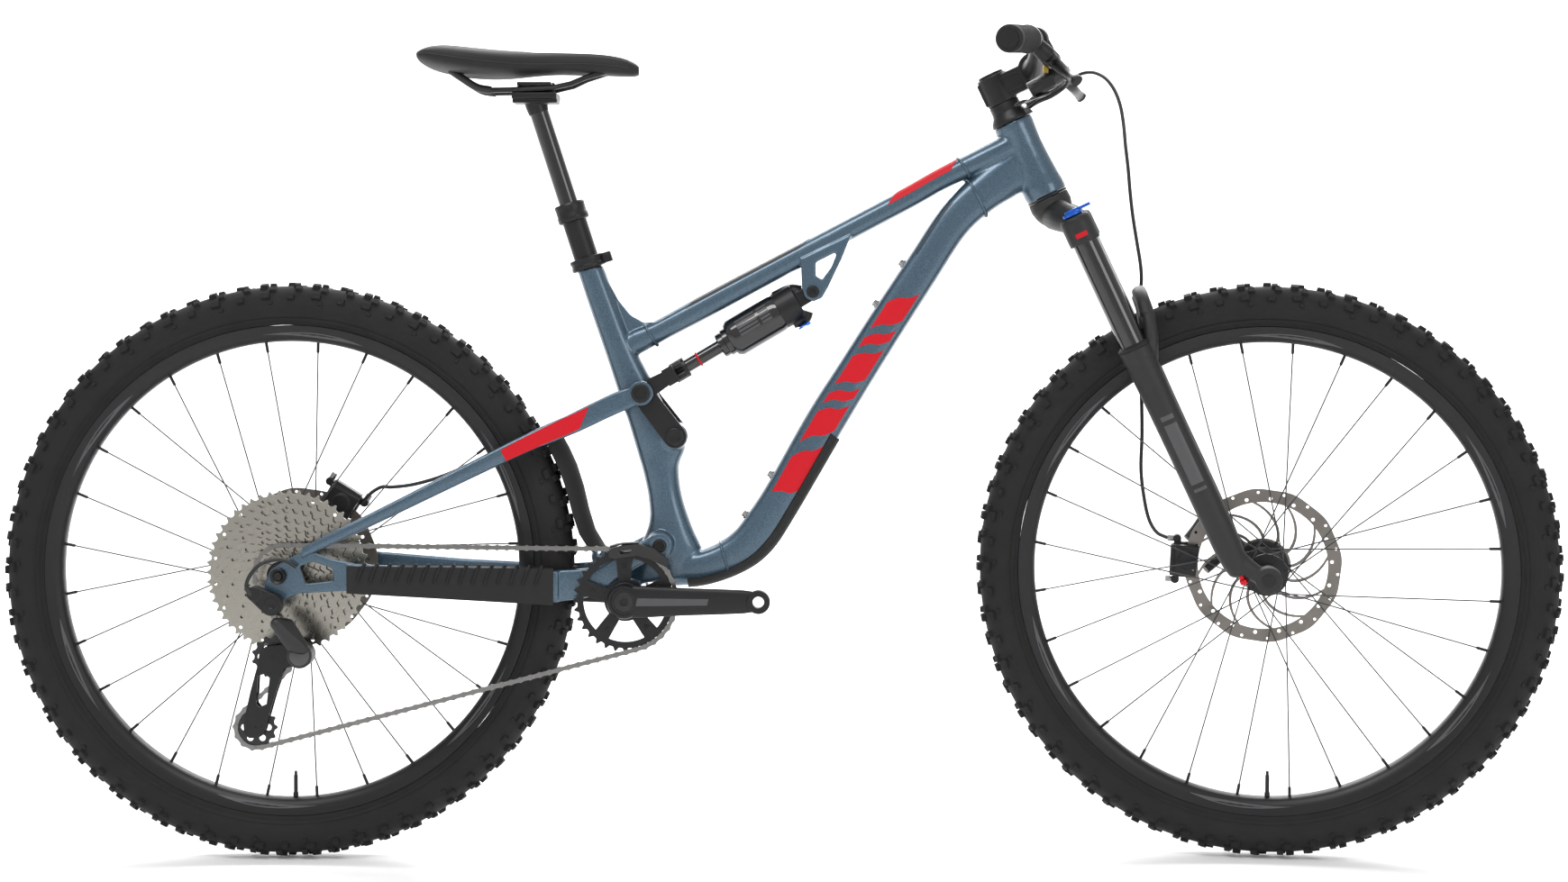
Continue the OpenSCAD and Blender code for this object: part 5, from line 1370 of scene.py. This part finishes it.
def cranks():
    s = Shape()
    crank_arm(s, 1, -1)
    crank_arm(s, -1, 1)
    for side in (-1, 1):
        s.lathe([(0.01, 58.2), (21, 58.2), (22, 59.4), (22, 72), (20.5, 75), (17, 75.6), (16.4, 74.4), (0.01, 74.4)],
                Matrix.Translation((CRANK[0], 0, CRANK[1])) @ (TO_Y if side > 0 else
                                                               Matrix.Rotation(math.radians(90), 4, "X")), 48)
    s.rod((CRANK[0], -59, CRANK[1]), (CRANK[0], 59, CRANK[1]), 14.9, n=36)
    s.piece("crank_arms", BLACK, "cranks", None, 35, replaces=("crankset",))
    b = Shape()
    for side in (-1, 1):
        b.bolt(CRANK, side * 75.8, side, 12, 3.0, hole=0.42)
    b.piece("crank_bolts", MATTE, "cranks", None, 35)
    lab = Shape()
    lab.prism([(-176, 344), (-86, 343), (-88, 335), (-178, 334)], -75.7, -75.2)
    lab.piece("crank_label_plain", GREY, "cranks", None, 60)
    r = Shape()
    holes = [window(CRANK, 27, 53.4, 20 + 72 * k + 11, 20 + 72 * k + 61, 9) for k in range(5)]
    r.plate([toothed(CRANK, 32), circle(CRANK[0], CRANK[1], 15.2, 40)] + holes, CHAIN_Y - 0.9, CHAIN_Y + 0.9,
            bevel=0.2)
    r.lathe([(15.2, -57.8), (21.5, -57.8), (22.6, -57), (22.6, -50.2), (15.2, -50.2)], on_y(CRANK), 48, ring=True)
    for k in range(5):
        a = math.radians(20 + 72 * k)
        p = (CRANK[0] + 44 * math.cos(a), CRANK[1] + 44 * math.sin(a))
        r.bolt(p, -54.2, -1, 3.2, 1.6)
    r.piece("chainring_teeth", BLACK, "cranks", None, 30, replaces=("chainring",))


def mech():
    def bolts(s):
        s.bolt((-635, 338), -98.6, -1, 9, 2.6)
        s.lathe([(0.01, 0), (8.6, 0), (8.6, 2), (0.01, 2)], on_y((-657, 352), -99.2), 24)
    soften("derailleur_body", "mech_body_skin", BLACK, "swingarm", 0.9, 3, bolts)
    soften("derailleur_link", "mech_link_skin", PLASTIC, "mech_link", 0.8, 4)
    k = Shape()
    k.lathe([(0.01, -86.6), (11, -86.6), (12.4, -86), (12.4, -84), (0.01, -84)], on_y((-602, 272)), 32)
    k.piece("mech_knuckle_cap", GREY, "mech_link", None, 35)
    kn, g, t = (-602, 272), (-643, 266), (-664, 176)
    mid = ((g[0] + t[0]) / 2, (g[1] + t[1]) / 2)
    outline = [(kn[0] + 12, kn[1] + 2), (kn[0] + 4, kn[1] + 10), (kn[0] - 4, kn[1] + 13), (g[0] - 8, g[1] + 14),
               (g[0] - 16, g[1] + 4), (g[0] - 17, g[1] - 6), (mid[0] - 17, mid[1]), (t[0] - 15, t[1] + 6),
               (t[0] - 14, t[1] - 6), (t[0] - 8, t[1] - 12.5), (t[0] + 4, t[1] - 12.5), (t[0] + 11, t[1] - 8),
               (mid[0] + 15, mid[1] - 2), (g[0] + 16, g[1] - 14), (kn[0] + 4, kn[1] - 12)]
    c = Shape()
    for y in (-59, -45.5):
        slot_ = [(mid[0] - 7, mid[1] + 22), (mid[0] - 9, mid[1] - 14), (mid[0] - 5, mid[1] - 19),
                 (mid[0] + 4, mid[1] - 15), (mid[0] + 8, mid[1] + 19), (mid[0] + 2, mid[1] + 24)]
        c.plate([outline, slot_], y - 1, y + 1, bevel=0.3)
    c.rod((kn[0], -79, kn[1]), (kn[0], -58, kn[1]), 4.9, n=24)
    for p in (g, t):
        c.rod((p[0], -60.8, p[1]), (p[0], -44.2, p[1]), 2.3, n=16)
    c.piece("mech_cage_plates", BLACK, "mech_cage", None, 35, replaces=("derailleur_cage",))
    for name, node, body, p in (("guide_wheel", "guide_pulley", "guide", g),
                                ("tension_wheel", "tension_pulley", "tension", t)):
        w = Shape()
        holes = [circle(p[0] + 15.5 * math.cos(math.radians(60 * i)), p[1] + 15.5 * math.sin(math.radians(60 * i)),
                        4.2, 16) for i in range(6)]
        w.plate([toothed(p, 13, 2.6, 1.4), circle(p[0], p[1], 2.5, 16)] + holes, CHAIN_Y - 0.9,
                CHAIN_Y + 0.9, bevel=0.15)
        w.lathe([(2.5, -56), (7.6, -56), (8, -55.4), (8, -48.6), (7.6, -48), (2.5, -48)], on_y(p), 28, ring=True)
        w.piece(name, PLASTIC, body, None, 30, replaces=(node,))


def chain():
    wheels_ = [(CRANK, pitch_r(32), -1), ((-664, 176), pitch_r(13), -1), ((-643, 266), pitch_r(13), 1),
               ((-630, 372), pitch_r(18), -1)]

    def run(a, b):
        dx, dz = b[0][0] - a[0][0], b[0][1] - a[0][1]
        return math.atan2(dz, dx) - math.asin((b[2] * b[1] - a[2] * a[1]) / math.hypot(dx, dz))
    path = []
    for i, w in enumerate(wheels_):
        a = run(wheels_[i - 1], w)
        turn = run(w, wheels_[(i + 1) % 4]) - a
        full = 2 * math.pi
        turn -= full * (math.floor(turn / full) if w[2] > 0 else math.ceil(turn / full))
        for k in range(41):
            g = a + turn * k / 40
            path.append((w[0][0] + w[2] * w[1] * math.sin(g), w[0][1] - w[2] * w[1] * math.cos(g)))
    path.append(path[0])
    dist = [0.0]
    for p, q in zip(path, path[1:]):
        dist.append(dist[-1] + math.hypot(q[0] - p[0], q[1] - p[1]))
    count = 2 * round(dist[-1] / PITCH / 2)
    step = dist[-1] / count
    pins, j = [], 0
    for k in range(count):
        d = k * step
        while dist[j + 1] < d:
            j += 1
        f = (d - dist[j]) / max(1e-6, dist[j + 1] - dist[j])
        pins.append((path[j][0] + (path[j + 1][0] - path[j][0]) * f, path[j][1] + (path[j + 1][1] - path[j][1]) * f))
    s = Shape()
    for k, p in enumerate(pins):
        q = pins[(k + 1) % count]
        a = math.atan2(q[1] - p[1], q[0] - p[0])
        m = math.hypot(q[0] - p[0], q[1] - p[1])
        r = 3.7
        local = ([(r * math.cos(math.radians(t)), r * math.sin(math.radians(t))) for t in range(50, 311, 26)]
                 + [(m / 2, -2.5)] + [(m + r * math.cos(math.radians(t)), r * math.sin(math.radians(t)))
                                      for t in range(-130, 131, 26)] + [(m / 2, 2.5)])
        outline = [(p[0] + u * math.cos(a) - v * math.sin(a), p[1] + u * math.sin(a) + v * math.cos(a))
                   for u, v in local]
        for side in (-1, 1):
            y = CHAIN_Y + side * (2.05 if k % 2 else 1.2)
            s.prism(outline, y - 0.4, y + 0.4)
        s.rod((p[0], CHAIN_Y - 2.5, p[1]), (p[0], CHAIN_Y + 2.5, p[1]), 1.6, n=10)
    o = s.piece("chain_links", CHAIN, None, None, 35, replaces=("chain",), bind=False)
    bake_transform(o)


for build in (fork, cockpit, hoses, post, saddle, rear_end, linkage, cassette, cranks, mech, chain):
    build()
posts = Shape()
for high, low in (((-24, 47, 70), (10, 60, 88)), ((-20, 47, 24), (16, 60, 34))):
    posts.sweep([low, ((high[0] + low[0]) / 2, 54, (high[2] + low[2]) / 2 - 1), high], 6.5, STEER, 18, 5)
posts.piece("front_caliper_posts", BLACK, "lowers", None, 60)
caliper("front_caliper_skin", "front_caliper", STEER @ Matrix.Translation((50, 0, 0)), 152, 40, "lowers")
